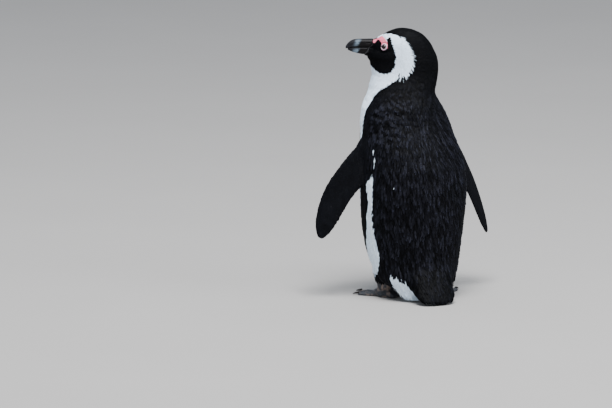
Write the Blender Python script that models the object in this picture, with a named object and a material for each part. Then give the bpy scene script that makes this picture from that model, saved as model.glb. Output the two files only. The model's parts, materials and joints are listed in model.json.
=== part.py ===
"""African penguin, standing and looking back over its left shoulder side.

The bird faces -Y, its left is +X and the floor is z = 0.  Every solid runs out
to the tips of the feathers.  The trunk, neck and head are one smooth stack of
level sections, parted by thin cuts; flippers, legs, tail, bill, claws and eyes
are plugs that sit in pockets cut to fit them.
"""
import math

import bmesh
import bpy
import numpy as np

MM = 0.001
GAP = 0.3                     # clearance between neighbouring solids, mm

# Pose
HEAD_TURN = 65.0              # the bill points this far to the bird's left, degrees
HEAD_AXIS_ASIDE = -24.0       # the head's middle plane beside the body's upright axis, mm
FOOT_SPLAY = 25.0             # each foot's middle toe points this far outwards, degrees
ANKLES = {1: (52.0, -8.0), -1: (-50.0, 26.0)}   # the left foot is a short step ahead, mm
ANKLE_TOP = 16.0              # the foot ends and the feathered leg begins here, mm

# Trunk: level, middle x, middle y, turn in degrees, half width, half depth, all mm.
TRUNK_LEVELS = (
    (8.0, 12.0, 56.0, 0.0, 17.0, 13.0),
    (14.0, 11.0, 54.0, 0.0, 29.0, 21.0),
    (20.0, 8.0, 44.0, 0.0, 44.0, 34.0),
    (27.0, 5.0, 31.0, 0.0, 60.0, 47.0),
    (39.0, 3.0, 20.0, 0.0, 72.0, 61.0),
    (62.0, 1.0, 7.0, 0.0, 79.5, 78.0),
    (100.0, 0.0, -3.0, 0.0, 87.0, 88.5),
    (148.0, -2.0, -6.5, 0.0, 93.6, 92.0),
    (196.0, -3.6, -7.5, 0.0, 97.0, 93.0),
    (246.0, -2.0, -12.5, 0.0, 94.2, 89.5),
    (286.0, 2.0, -22.0, 3.0, 86.5, 81.5),
    (314.0, 4.0, -29.5, 7.0, 81.0, 76.0),
    (332.0, 6.0, -32.0, 12.0, 75.5, 74.5),
    (344.0, 8.0, -32.5, 19.0, 69.0, 72.5),
    (355.0, 9.5, -31.5, 28.0, 61.5, 67.0),
)
# Neck and head, measured along the bill's own direction: level, middle forward of
# the body's axis, half length, half width, how much the face narrows.
HEAD_LEVELS = (
    (367.0, 22.1, 61.5, 54.5, 0.00),
    (381.0, 19.2, 61.0, 47.5, 0.04),
    (392.0, 16.4, 60.0, 43.5, 0.09),
    (402.0, 15.6, 60.0, 41.0, 0.16),
    (413.0, 16.4, 61.0, 39.0, 0.23),
    (424.0, 18.0, 61.4, 37.5, 0.27),
    (433.0, 21.6, 62.2, 36.0, 0.29),
    (442.0, 20.2, 56.2, 34.3, 0.29),
    (451.0, 21.8, 53.6, 32.3, 0.28),
    (460.0, 22.8, 48.4, 29.3, 0.26),
    (468.6, 19.9, 37.0, 24.3, 0.22),
    (475.0, 19.0, 26.0, 18.2, 0.15),
    (479.3, 19.8, 14.2, 10.6, 0.08),
    (481.0, 20.4, 4.6, 3.8, 0.00),
)
NECK_TURNS = (40.0, 54.0, 61.0)   # turn of the first three neck levels, degrees
RING_POINTS = 32
TRUNK_RINGS, NECK_RINGS, HEAD_RINGS = 19, 6, 15
SHOULDER_CUT = 346.0          # the neck begins here, mm
CHIN_CUT = 398.0              # the head begins here, mm

# Bill: distance forward, top, bottom, half width
UPPER_BILL = (
    (62.0, 460.8, 446.6, 9.6),
    (72.0, 461.8, 446.8, 9.2),
    (86.0, 461.6, 447.0, 7.8),
    (98.0, 461.5, 447.1, 7.0),
    (107.0, 460.6, 446.9, 6.4),
    (113.4, 457.6, 446.4, 5.4),
    (118.4, 453.2, 445.2, 4.1),
    (121.6, 448.6, 443.6, 2.2),
)
LOWER_BILL = (
    (62.0, 446.2, 434.0, 9.0),
    (72.0, 446.4, 433.2, 8.8),
    (86.0, 446.6, 433.2, 7.8),
    (97.0, 446.7, 434.6, 6.8),
    (106.0, 446.5, 436.8, 5.9),
    (112.6, 445.9, 439.0, 4.9),
    (118.2, 444.7, 441.6, 3.2),
)
BILL_POINTS = 16
BILL_RINGS = 12
ARCHED, FLAT = 0.9, 0.4         # how square the outside and the mouth side are

EYE_FORWARD = 51.9            # eye from the body's axis along the bill's direction, mm
EYE_LEVEL = 448.7
EYE_RADIUS = 6.5
EYE_SLICES, EYE_LAYERS = 14, 8
EYE_SUNK = 3.6                # the ball's middle below the face, mm

# Flipper planform: distance from the shoulder, leading edge, trailing edge, half thickness
FLIPPER = (
    (-12.0, -7.0, 15.0, 4.5),
    (8.0, -17.0, 33.0, 8.6),
    (35.0, -24.0, 39.0, 7.6),
    (60.0, -31.0, 34.0, 6.0),
    (85.0, -37.0, 23.0, 5.0),
    (111.0, -39.5, 16.0, 4.2),
    (140.0, -37.5, 13.5, 3.5),
    (168.0, -30.0, 10.0, 2.7),
    (185.5, -20.0, 4.0, 2.0),
    (193.5, -11.0, -2.0, 1.4),
)
FLIPPER_POINTS = 16
FLIPPER_RINGS = 14
TRAILING_THIN = 0.35          # the trailing edge is thinner by this share
# shoulder, tip and the way the outer face looks, for each side
FLIPPER_LEFT = ((76.0, -28.0, 280.5), (162.0, -36.0, 107.5), (0.72, 0.60, 0.34))
FLIPPER_RIGHT = ((-84.5, -14.0, 271.0), (-161.0, -29.0, 98.0), (-0.73, 0.63, 0.27))

# Leg: level, half width, half depth, outwards and backwards from the ankle
LEG = (
    (ANKLE_TOP, 14.0, 17.5, 0.0, 3.0),
    (21.0, 15.5, 19.0, 0.0, 2.5),
    (29.0, 17.5, 21.5, 0.5, 1.5),
    (42.0, 19.5, 25.5, 0.5, 0.0),
    (60.0, 20.0, 27.0, 0.0, 0.0),
    (80.0, 17.0, 22.0, -3.0, 0.0),
)
LEG_POINTS = 18
LEG_RINGS = 9

# Tail: backwards, level, sideways, half width, half thickness
TAIL = (
    (44.0, 74.0, 1.0, 38.0, 22.0),
    (60.0, 55.0, 1.0, 43.0, 25.0),
    (79.0, 36.0, 2.0, 41.0, 23.0),
    (95.0, 20.0, 3.0, 37.5, 15.0),
    (108.0, 8.5, 3.5, 31.5, 8.0),
    (116.5, 2.4, 4.0, 22.0, 2.6),
)
TAIL_POINTS = 20
TAIL_RINGS = 10

# Foot, seen from above, round the ankle: direction in degrees, length, half width, height
TOES = ((-29.0, 43.0, 5.8, 8.0), (0.0, 58.0, 6.4, 8.8), (27.0, 51.0, 6.0, 8.2))
HIND_TOE = (-104.0, 19.0, 3.6, 6.5)
HEEL = (180.0, 30.0, 11.0, 15.5)
WEB_REACH = 0.76              # the web's edge between two toes, as a share of their length
WEB_HEIGHT = 3.6
TIP_START = 0.90              # a toe narrows to its tip from this share of its length
ANKLE_FLAT = 12.0             # the top of the ankle is flat this far out, mm
ANKLE_REACH = 16.5
PAD_SHARE = 0.92              # this share of a toe's width lies flat on the floor
WEB_LIFT = 1.1                # clear space under the web, mm
WEB_ROOT = 0.90               # and beside a toe
OUTLINE_ANGLES = (-15.0, 13.5, -60.0, 60.0, 95.0, -135.0, 135.0)   # between the toes
EDGE_STEPS = (-1.6, -0.85, 0.0, 0.85, 1.6)   # places across a toe, in half widths
STEEPEST = 1.4                # a toe is only felt this near its own direction, radians
KNUCKLE_SWELL, KNUCKLE_WAVES = 0.10, 2.8
TOE_FALL = 0.32               # a toe loses this share of its height towards its tip
RIDGE_SHARPNESS = 0.8
PAD_SOFTNESS = 0.4
ANKLE_SLOPE = 150.0           # the ankle's skirt, mm squared
RIM_MIDDLE, RIM_SHARE, RIM_LIFT, RIM_POWER = 2.4, 0.45, 0.8, 5
RING_SPACING = 0.8            # below 1 the foot's rings crowd towards its edge
FOOT_STEPS = 5
CLAW_LENGTH = 10.0
CLAW_RADIUS = 2.5
CLAW_ROOT = 3.5               # this much of the claw is inside the toe, mm
CLAW_SHARES = (0.0, 0.25, 0.5, 0.75, 0.94)
CLAW_LEVEL, CLAW_DROP = 4.6, 3.0   # it leaves the toe here and bends down this much, mm
CLAW_TAPER, CLAW_TAPER_POWER = 0.78, 1.3
SMALLEST_CLAW = 0.65
CLAW_TALL = 1.1               # taller than wide by this
CLAW_POINTS = 10

COLLECTION = "african_penguin"


def empty_scene():
    for thing in list(bpy.data.objects):
        bpy.data.objects.remove(thing)
    for mesh in list(bpy.data.meshes):
        bpy.data.meshes.remove(mesh)


def collection(name):
    made = bpy.data.collections.new(name)
    bpy.context.scene.collection.children.link(made)
    return made


def material(name, colour, roughness, metallic=0.0):
    made = bpy.data.materials.new(name)
    made.use_nodes = True
    shader = made.node_tree.nodes["Principled BSDF"]
    shader.inputs["Base Color"].default_value = (*colour, 1.0)
    shader.inputs["Roughness"].default_value = roughness
    shader.inputs["Metallic"].default_value = metallic
    return made


def smooth_rows(rows, where):
    """Every column of rows as a smooth curve of the row number, read at where."""
    rows = np.asarray(rows, float)
    slope = np.gradient(rows, axis=0)
    where = np.clip(np.asarray(where, float), 0.0, len(rows) - 1.0)
    k = np.minimum(where.astype(int), len(rows) - 2)
    t = (where - k)[:, None]
    return ((2 * t**3 - 3 * t**2 + 1) * rows[k] + (t**3 - 2 * t**2 + t) * slope[k]
            + (3 * t**2 - 2 * t**3) * rows[k + 1] + (t**3 - t**2) * slope[k + 1])


def row_at(rows, level):
    """Row number at which the first column reaches level."""
    fine = np.linspace(0.0, len(rows) - 1.0, 2000)
    return float(np.interp(level, smooth_rows(rows, fine)[:, 0], fine))


def turned(forward, aside, angle):
    """World x and y of a place given forward of and to the left of the body's axis."""
    s, c = math.sin(math.radians(angle)), math.cos(math.radians(angle))
    return forward * s + aside * c, -forward * c + aside * s


def body_rows():
    """The whole stack from the vent to the crown: one row for each level."""
    rows = [(z, x, y, turn, width, depth, 0.0) for z, x, y, turn, width, depth in TRUNK_LEVELS]
    for number, (z, forward, length, width, narrow) in enumerate(HEAD_LEVELS):
        x, y = turned(forward, HEAD_AXIS_ASIDE, HEAD_TURN)
        turn = NECK_TURNS[number] if number < len(NECK_TURNS) else HEAD_TURN
        rows.append((z, x, y, turn, width, length, narrow))
    return rows


def section(half_long, half_wide, narrow, count):
    """Points round an egg whose front end (first axis, plus) is narrowed."""
    angle = np.linspace(0.0, 2 * math.pi, count, endpoint=False)
    c, s = np.cos(angle), np.sin(angle)
    waist = 1.0 - narrow * np.maximum(c, 0.0)
    return half_long * c, half_wide * s * waist


def solid(name, rings, home, look):
    """A closed mesh through the rings, with a flat cap at each end.

    The sides are triangles, so that a pocket's wall bends exactly as its plug does.
    """
    count = len(rings[0])
    mesh = bmesh.new()
    rows = [[mesh.verts.new(np.asarray(p) * MM) for p in ring] for ring in rings]
    for low, high in zip(rows, rows[1:]):
        for i in range(count):
            j = (i + 1) % count
            mesh.faces.new((low[i], low[j], high[j]))
            mesh.faces.new((low[i], high[j], high[i]))
    mesh.faces.new(list(reversed(rows[0])))
    mesh.faces.new(rows[-1])
    bmesh.ops.recalc_face_normals(mesh, faces=mesh.faces)
    data = bpy.data.meshes.new(name)
    mesh.to_mesh(data)
    mesh.free()
    made = bpy.data.objects.new(name, data)
    home.objects.link(made)
    if look is not None:
        data.materials.append(look)
    for face in data.polygons:
        face.use_smooth = len(face.vertices) < 5
    return made


def body_rings(low, high, steps):
    rows = body_rows()
    where = np.linspace(row_at(rows, low), row_at(rows, high), steps)
    rings = []
    for z, x, y, turn, width, depth, narrow in smooth_rows(rows, where):
        forward, aside = section(depth, width, narrow, RING_POINTS)
        dx, dy = turned(forward, aside, turn)
        rings.append(np.stack([x + dx, y + dy, np.full_like(dx, z)], axis=1))
    return rings


def tube_rings(stations, across, up, points, spread=0.0):
    """Rings round stations of (middle, half across, half up), grown by spread."""
    angle = np.linspace(0.0, 2 * math.pi, points, endpoint=False)
    rings = []
    for middle, wide, tall in stations:
        ring = (np.asarray(middle) + np.outer(np.cos(angle) * (wide + spread), across)
                + np.outer(np.sin(angle) * (tall + spread), up))
        rings.append(ring)
    return rings


def bill_rings(table, spread=0.0):
    """A mandible: flat along the mouth, arched away from it, ending in a small cap."""
    rows = smooth_rows(table, np.linspace(0.0, len(table) - 1.0, BILL_RINGS))
    rows[0, 0] -= spread
    rows[-1, 0] += spread
    away = 1.0 if table is UPPER_BILL else -1.0
    angle = np.linspace(0.0, 2 * math.pi, BILL_POINTS, endpoint=False)
    c, s = np.cos(angle), np.sin(angle) * away
    power = np.where(s * away > 0.0, ARCHED, FLAT)
    wide = np.sign(c) * np.abs(c) ** power
    tall = np.sign(s) * np.abs(s) ** power
    rings = []
    for forward, top, bottom, half in rows:
        height = (top + bottom) / 2.0 + ((top - bottom) / 2.0 + spread) * tall
        aside = HEAD_AXIS_ASIDE + (half + spread) * wide
        x, y = turned(np.full_like(aside, forward), aside, HEAD_TURN)
        rings.append(np.stack([x, y, height], axis=1))
    return rings


def flipper_rings(placing, spread=0.0):
    shoulder, tip, face = (np.asarray(v, float) for v in placing)
    along = (tip - shoulder) / np.linalg.norm(tip - shoulder)
    outer = face - along * (face @ along)
    outer /= np.linalg.norm(outer)
    chord = np.cross(along, outer)
    if chord[1] < 0.0:
        chord = -chord
    rows = smooth_rows(FLIPPER, np.linspace(0.0, len(FLIPPER) - 1.0, FLIPPER_RINGS))
    rows[0, 0] -= spread
    angle = np.linspace(0.0, 2 * math.pi, FLIPPER_POINTS, endpoint=False)
    rings = []
    for reach, lead, trail, thick in rows:
        half = (trail - lead) / 2.0 + spread
        middle = shoulder + along * reach + chord * (trail + lead) / 2.0
        c, s = np.cos(angle), np.sin(angle)
        rise = (thick * (1.0 - TRAILING_THIN * c) + spread) * s
        rings.append(middle + np.outer(c * half, chord) + np.outer(rise, outer))
    return rings


def leg_rings(side, spread=0.0):
    rows = smooth_rows(LEG, np.linspace(0.0, len(LEG) - 1.0, LEG_RINGS))
    rows[-1, 0] += spread
    x, y = ANKLES[side]
    stations = [((x + side * out, y + back, z), wide, deep)
                for z, wide, deep, out, back in rows]
    return tube_rings(stations, (1, 0, 0), (0, 1, 0), LEG_POINTS, spread)


def tail_rings(spread=0.0):
    """The tail leans back; what would pass the floor is laid flat on it."""
    rows = smooth_rows(TAIL, np.linspace(0.0, len(TAIL) - 1.0, TAIL_RINGS))
    ahead = np.gradient(rows[:, :2], axis=0)
    rings = []
    angle = np.linspace(0.0, 2 * math.pi, TAIL_POINTS, endpoint=False)
    for (back, z, x, wide, thick), (run, drop) in zip(rows, ahead):
        size = math.hypot(run, drop)
        up = np.array((0.0, -drop / size, run / size))
        c, s = np.cos(angle), np.sin(angle)
        ring = (np.array((x, back, z)) + np.outer(c * (wide + spread), (1, 0, 0))
                + np.outer(s * (thick + spread), up))
        rings.append(ring)
    if spread:
        rings[0] += np.array((0.0, -spread, spread))
    for ring in rings:
        ring[:, 2] = np.maximum(ring[:, 2], 0.0)
    return rings


def foot_place(side, angle, reach):
    """World x and y of a place round the ankle of the foot on that side."""
    turn = math.radians(FOOT_SPLAY + angle)
    x, y = ANKLES[side]
    return x + side * reach * math.sin(turn), y - reach * math.cos(turn)


def off_angle(angle, direction):
    return (angle - direction + 180.0) % 360.0 - 180.0


def web_reach(angle):
    """How far the web goes between two toes, scooped in the middle."""
    for (a0, r0, *_), (a1, r1, *_) in zip(TOES, TOES[1:]):
        if a0 <= angle <= a1:
            share = (angle - a0) / (a1 - a0)
            scoop = WEB_REACH + (WEB_ROOT - WEB_REACH) * abs(2 * share - 1.0) ** 2
            return ((1 - share) * r0 + share * r1) * scoop
    return ANKLE_REACH


def foot_outline():
    """Angles round the foot and how far it reaches at each."""
    lobes = list(TOES) + [HIND_TOE, HEEL]
    angles = set(OUTLINE_ANGLES)
    for direction, length, wide, _ in lobes:
        edge = math.degrees(math.atan2(wide, length * TIP_START))
        angles |= {off_angle(direction + edge * step, 0.0) for step in EDGE_STEPS}
    outline = []
    for angle in sorted(angles):
        reach = web_reach(angle)
        for direction, length, wide, _ in lobes:
            off = math.radians(abs(off_angle(angle, direction)))
            if off >= STEEPEST:
                continue
            share = math.tan(off) * length * TIP_START / wide
            if share < 1.0:
                tip = TIP_START + (1.0 - TIP_START) * math.sqrt(1.0 - share * share)
                reach = max(reach, length * tip)
            else:
                reach = max(reach, min(length * TIP_START, wide / math.sin(off)))
        outline.append((angle, reach))
    return outline


def foot_height(angle, reach, full):
    """Top and bottom of the foot at a place, mm."""
    top, pad = WEB_HEIGHT, 1.0 if reach < ANKLE_REACH else 0.0
    for direction, length, wide, tall in list(TOES) + [HIND_TOE, HEEL]:
        off = math.radians(off_angle(angle, direction))
        beside = abs(reach * math.sin(off)) / wide
        ahead = reach * math.cos(off) / length
        if ahead > 0.0:
            knuckle = 1.0 + KNUCKLE_SWELL * math.cos(ahead * KNUCKLE_WAVES * 2.0 * math.pi)
            ridge = tall * knuckle * (1.0 - TOE_FALL * ahead ** 2)
            top = max(top, ridge * math.exp(-RIDGE_SHARPNESS * beside * beside))
            pad = max(pad, math.exp(-(max(beside - PAD_SHARE, 0.0) / PAD_SOFTNESS) ** 2))
    skirt = math.exp(-max(reach - ANKLE_FLAT, 0.0) ** 2 / ANKLE_SLOPE)
    top = max(top, (ANKLE_TOP - GAP) * skirt)
    share = reach / full
    rim = math.sqrt(max(1.0 - share ** RIM_POWER, 0.0))
    middle = min(RIM_MIDDLE, top / 2.0)
    low = WEB_LIFT * (1.0 - pad)
    if share > 0.99:
        low = max(RIM_LIFT, low)
    return middle + (top - middle) * (RIM_SHARE + (1.0 - RIM_SHARE) * rim), low


def foot(side, home, look):
    outline = foot_outline()
    shares = [(k / FOOT_STEPS) ** RING_SPACING for k in range(1, FOOT_STEPS + 1)]
    mesh = bmesh.new()

    def sheet(pick):
        x, y = foot_place(side, 0.0, 0.0)
        heart = mesh.verts.new((x * MM, y * MM, foot_height(0.0, 0.0, 1.0)[pick] * MM))
        rows = []
        for share in shares:
            row = []
            for angle, full in outline:
                x, y = foot_place(side, angle, full * share)
                z = foot_height(angle, full * share, full)[pick]
                row.append(mesh.verts.new((x * MM, y * MM, z * MM)))
            rows.append(row)
        count = len(outline)
        for i in range(count):
            j = (i + 1) % count
            mesh.faces.new((heart, rows[0][i], rows[0][j]))
            for low, high in zip(rows, rows[1:]):
                mesh.faces.new((low[i], high[i], high[j], low[j]))
        return rows[-1]

    upper, lower = sheet(0), sheet(1)
    for i in range(len(upper)):
        j = (i + 1) % len(upper)
        mesh.faces.new((upper[i], upper[j], lower[j], lower[i]))
    bmesh.ops.recalc_face_normals(mesh, faces=mesh.faces)
    name = "foot_left" if side > 0 else "foot_right"
    data = bpy.data.meshes.new(name)
    mesh.to_mesh(data)
    mesh.free()
    data.materials.append(look)
    made = bpy.data.objects.new(name, data)
    home.objects.link(made)
    for face in data.polygons:
        face.use_smooth = True
    return made


def claw_rings(side, toe, spread=0.0):
    """A curved cone from inside the toe's end down to just above the floor."""
    angle, length = toe[:2]
    stations = []
    size = SMALLEST_CLAW + (1.0 - SMALLEST_CLAW) * length / TOES[1][1]
    for share in CLAW_SHARES:
        reach = length - CLAW_ROOT + share * (CLAW_LENGTH + CLAW_ROOT) * size
        x, y = foot_place(side, angle, reach - (spread if share == 0.0 else 0.0))
        radius = CLAW_RADIUS * size * (1.0 - CLAW_TAPER * share ** CLAW_TAPER_POWER)
        z = CLAW_LEVEL - CLAW_DROP * share ** 2
        stations.append(((x, y, z), radius, radius * CLAW_TALL))
    turn = math.radians(FOOT_SPLAY + angle)
    across = (math.cos(turn), side * math.sin(turn), 0.0)
    return tube_rings(stations, across, (0, 0, 1), CLAW_POINTS, spread)


def apply_modifiers(thing):
    reach = bpy.context.evaluated_depsgraph_get()
    data = bpy.data.meshes.new_from_object(thing.evaluated_get(reach))
    thing.modifiers.clear()
    old = thing.data
    thing.data = data
    bpy.data.meshes.remove(old)
    data.name = thing.name


def pocket(target, cutter):
    """Take cutter's shape out of target."""
    cut = target.modifiers.new("pocket", "BOOLEAN")
    cut.operation = "DIFFERENCE"
    cut.solver = "EXACT"
    cut.object = cutter
    cutter.hide_render = True
    cutter.display_type = "WIRE"
    bpy.context.view_layer.update()
    apply_modifiers(target)


def eye_middle(side):
    """Middle of an eyeball: sunk straight into the face from its surface."""
    rows = body_rows()
    row = smooth_rows(rows, [row_at(rows, EYE_LEVEL)])[0]
    depth, width, narrow = row[5], row[4], row[6]
    middle_forward = (row[1] * math.sin(math.radians(HEAD_TURN))
                      - row[2] * math.cos(math.radians(HEAD_TURN)))
    c = (EYE_FORWARD - middle_forward) / depth
    beside = width * math.sqrt(1.0 - c * c) * (1.0 - narrow * c)
    x, y = turned(EYE_FORWARD, HEAD_AXIS_ASIDE + side * (beside - EYE_SUNK), HEAD_TURN)
    return np.array((x, y, EYE_LEVEL)) * MM


def ball(name, middle, radius, home, look):
    mesh = bmesh.new()
    bmesh.ops.create_uvsphere(mesh, u_segments=EYE_SLICES, v_segments=EYE_LAYERS,
                              radius=radius * MM)
    bmesh.ops.translate(mesh, verts=mesh.verts, vec=middle)
    data = bpy.data.meshes.new(name)
    mesh.to_mesh(data)
    mesh.free()
    made = bpy.data.objects.new(name, data)
    home.objects.link(made)
    if look is not None:
        data.materials.append(look)
    for face in data.polygons:
        face.use_smooth = True
    return made


def to_origin(parts):
    """Put the middle of the whole bird's footprint box on the z axis, its soles on z = 0."""
    places = np.concatenate([np.array([v.co for v in part.data.vertices]) for part in parts])
    low, high = places.min(axis=0), places.max(axis=0)
    shift = np.array(((low[0] + high[0]) / -2.0, (low[1] + high[1]) / -2.0, -low[2]))
    for part in parts:
        for vertex in part.data.vertices:
            vertex.co = np.array(vertex.co) + shift
        part.data.update()


def build():
    empty_scene()
    home = collection(COLLECTION)
    tools = collection(COLLECTION + "_cutters")
    dark = material("dark_plumage", (0.012, 0.013, 0.018), 0.7)
    horn = material("bill_horn", (0.02, 0.02, 0.024), 0.35)
    eye = material("eye_surface", (0.03, 0.015, 0.01), 0.08)
    web = material("foot_skin", (0.03, 0.028, 0.03), 0.55)
    claw = material("claw_horn", (0.015, 0.013, 0.012), 0.4)

    trunk = solid("trunk", body_rings(TRUNK_LEVELS[0][0], SHOULDER_CUT, TRUNK_RINGS), home, dark)
    neck = solid("neck", body_rings(SHOULDER_CUT + GAP, CHIN_CUT, NECK_RINGS), home, dark)
    crown = HEAD_LEVELS[-1][0]
    head = solid("head", body_rings(CHIN_CUT + GAP, crown, HEAD_RINGS), home, dark)
    parts = [trunk, neck, head]

    for name, table in (("bill_upper", UPPER_BILL), ("bill_lower", LOWER_BILL)):
        parts.append(solid(name, bill_rings(table), home, horn))
        pocket(head, solid(name + "_cutter", bill_rings(table, GAP), tools, None))

    for name, placing in (("flipper_left", FLIPPER_LEFT), ("flipper_right", FLIPPER_RIGHT)):
        parts.append(solid(name, flipper_rings(placing), home, dark))
        pocket(trunk, solid(name + "_cutter", flipper_rings(placing, GAP), tools, None))

    tail = solid("tail", tail_rings(), home, dark)
    parts.append(tail)
    pocket(trunk, solid("tail_cutter", tail_rings(GAP), tools, None))

    for side, word in ((1, "left"), (-1, "right")):
        leg = solid("leg_" + word, leg_rings(side), home, dark)
        leg_cutter = solid("leg_" + word + "_cutter", leg_rings(side, GAP), tools, None)
        pocket(trunk, leg_cutter)
        pocket(tail, leg_cutter)
        sole = foot(side, home, web)
        parts += [leg, sole]
        for toe, place in zip(TOES, ("inner", "middle", "outer")):
            name = "claw_" + place + "_" + word
            parts.append(solid(name, claw_rings(side, toe), home, claw))
            pocket(sole, solid(name + "_cutter", claw_rings(side, toe, GAP), tools, None))
        middle = eye_middle(side)
        parts.append(ball("eye_" + word, middle, EYE_RADIUS, home, eye))
        pocket(head, ball("eye_" + word + "_cutter", middle, EYE_RADIUS + GAP, tools, None))

    to_origin(parts)


build()
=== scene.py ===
# %% [markdown]
# # African penguin, a still life-size model
# The bird stands with its back half towards us and looks over its left side. The solids
# under it are already made and packed. This script gives them one skin, a coat of solid
# feathers, a horn bill, eyes, claws and scaled feet, then a floor, lights and a camera.

import json
import math

import bmesh
import bpy
import numpy as np
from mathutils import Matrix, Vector, noise
from mathutils.bvhtree import BVHTree
from mathutils.kdtree import KDTree

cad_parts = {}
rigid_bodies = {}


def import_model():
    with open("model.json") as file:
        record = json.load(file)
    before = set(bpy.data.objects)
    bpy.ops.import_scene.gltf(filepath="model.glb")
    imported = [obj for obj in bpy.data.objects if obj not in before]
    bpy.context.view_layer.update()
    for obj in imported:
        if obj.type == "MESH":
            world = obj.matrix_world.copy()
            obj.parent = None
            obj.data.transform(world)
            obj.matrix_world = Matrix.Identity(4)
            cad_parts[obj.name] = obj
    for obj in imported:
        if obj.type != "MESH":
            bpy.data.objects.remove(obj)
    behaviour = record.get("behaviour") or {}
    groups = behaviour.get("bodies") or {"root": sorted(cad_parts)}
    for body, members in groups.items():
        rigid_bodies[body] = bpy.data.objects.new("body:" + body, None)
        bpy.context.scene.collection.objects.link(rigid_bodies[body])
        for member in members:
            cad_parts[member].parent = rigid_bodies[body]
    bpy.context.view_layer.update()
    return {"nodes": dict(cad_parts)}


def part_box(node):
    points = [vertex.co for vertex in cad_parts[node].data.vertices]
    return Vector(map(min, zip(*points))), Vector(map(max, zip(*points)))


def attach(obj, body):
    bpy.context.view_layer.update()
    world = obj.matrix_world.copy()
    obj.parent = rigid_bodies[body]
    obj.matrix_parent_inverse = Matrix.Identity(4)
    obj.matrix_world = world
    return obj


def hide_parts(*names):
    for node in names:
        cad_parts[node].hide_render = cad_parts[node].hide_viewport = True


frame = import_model()
MM = 0.001
chance = np.random.default_rng(11)

# %% [markdown]
# ## Places on the bird
# Markings and the lie of the feathers follow the animal, not the room. So a place is also
# given in the bird's own terms. On the head that is forward along the bill, up, and out to
# the left, measured from the two eyes. On the body it is the angle round an upright axis,
# from the middle of the breast, and the height. The front of the neck turns with height,
# because the head looks aside, and the table says how much.

# %% Head, body and flipper places
UP = np.array((0.0, 0.0, 1.0))


def unit(v):
    return v / np.maximum(np.linalg.norm(v, axis=-1, keepdims=True), 1e-12)


def ease(x, low, high):
    """0 below low, 1 above high, and a soft rise between."""
    t = np.clip((np.asarray(x, float) - low) / (high - low), 0, 1)
    return t * t * (3 - 2 * t)


def fall(x, low, high):
    """1 below low, 0 above high, and a soft fall between."""
    return ease(-x, -high, -low)


def window(x, start, full, fade, end):
    """Rises from start to full and falls again from fade to end."""
    return ease(x, start, full) * fall(x, fade, end)


def between(x, low, high):
    return (x > low) & (x < high)


def look_up(x, table):
    """The value at x in a table of (x, value) pairs."""
    return np.interp(x, *zip(*table))


def middle(node):
    low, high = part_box(node)
    return np.array((low + high) / 2)


EYE_AHEAD = 51.9  # the eyes' distance forward of the body's axis, mm
HEAD_ASIDE = -24  # the head's middle plane beside that axis, mm
EYES = {1: middle("eye_left"), -1: middle("eye_right")}
ASIDE = unit(EYES[1] - EYES[-1])
AHEAD = np.cross(ASIDE, UP)
HEAD_HOME = (EYES[1] + EYES[-1]) / 2 - AHEAD * EYE_AHEAD * MM
HEAD_HOME[2] = 0
HOME = HEAD_HOME - ASIDE * HEAD_ASIDE * MM  # the floor under the body's own axis


def head_place(points):
    """Forward, level and aside of each point, mm."""
    away = (points - HEAD_HOME) / MM
    return away @ AHEAD, away[:, 2], away @ ASIDE


# level, axis x, axis y in mm, and how far the front is turned to the left in degrees
BODY_AXIS = np.array((
    (0, 5, 40, 0), (30, 4, 24, 0), (60, 1, 8, 0),
    (150, -1.5, -6.5, 0), (250, -1.5, -13, 0), (286, 2, -22, 3),
    (314, 4, -29, 7), (332, 6, -32, 12), (344, 8, -32.5, 19),
    (355, 9, -32, 28), (367, 10, -31, 40), (381, 7, -30, 54),
    (392, 5, -29, 61), (402, 4, -28.3, 65), (482, 8, -30, 65)))


def body_place(points):
    """Angle from the front (left side plus, degrees), level and distance out, mm."""
    away = (points - HOME) / MM
    level = away[:, 2]
    x, y, turn = (np.interp(level, BODY_AXIS[:, 0], BODY_AXIS[:, k]) for k in (1, 2, 3))
    turn = np.radians(turn)
    dx, dy = away[:, 0] - x, away[:, 1] - y
    front = dx * np.sin(turn) - dy * np.cos(turn)
    left = dx * np.cos(turn) + dy * np.sin(turn)
    return np.degrees(np.arctan2(left, front)), level, np.hypot(dx, dy)


# shoulder and tip in mm from HOME, and the way the outer face looks
FLIPPERS = {
    "flipper_left": ((76, -28, 280.5), (162, -36, 107.5), (0.72, 0.60, 0.34)),
    "flipper_right": ((-84.5, -14, 271), (-161, -29, 98), (-0.73, 0.63, 0.27))}


def flipper_axes(name):
    shoulder, tip, face = (np.array(v) for v in FLIPPERS[name])
    along = unit(tip - shoulder)
    outer = unit(face - along * (face @ along))
    chord = np.cross(along, outer)
    return HOME + shoulder * MM, along, chord * (1 if chord[1] > 0 else -1), outer


def flipper_place(points, name):
    """Distance down the flipper, towards its trailing edge and out of its face, mm."""
    shoulder, along, chord, outer = flipper_axes(name)
    away = (points - shoulder) / MM
    return away @ along, away @ chord, away @ outer


print("the bill looks along", AHEAD.round(3), "and the eyes are",
      round(np.linalg.norm(EYES[1] - EYES[-1]) / MM, 1), "mm apart")

# %% [markdown]
# ## Markings
# A black bird with a white front: the black back meets the white flank along the side,
# a black band runs round the upper breast and down both flanks, and the face is a black
# mask inside a white band that loops from above the bill round the cheek to the throat.
# Each is written as an outline in the bird's own places. Skin and feathers ask the same
# functions for their colour, so the two can't disagree.

# %% Lines and bands on the body
# level, and the angle at which white ends and the black back begins
BACK_EDGE = (
    (0, 40), (25, 45), (33, 58), (38, 68), (44, 82), (52, 93), (62, 100), (75, 103.5),
    (97, 103.5), (131, 100.5), (171, 103.5), (193, 105.5), (199, 107), (204, 105), (209, 80),
    (220, 74), (250, 70), (268, 74.5), (300, 78.5), (318, 79), (334, 77), (346, 73), (354, 68),
    (363, 63), (372, 60), (381, 66), (390, 73), (400, 80))
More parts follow.
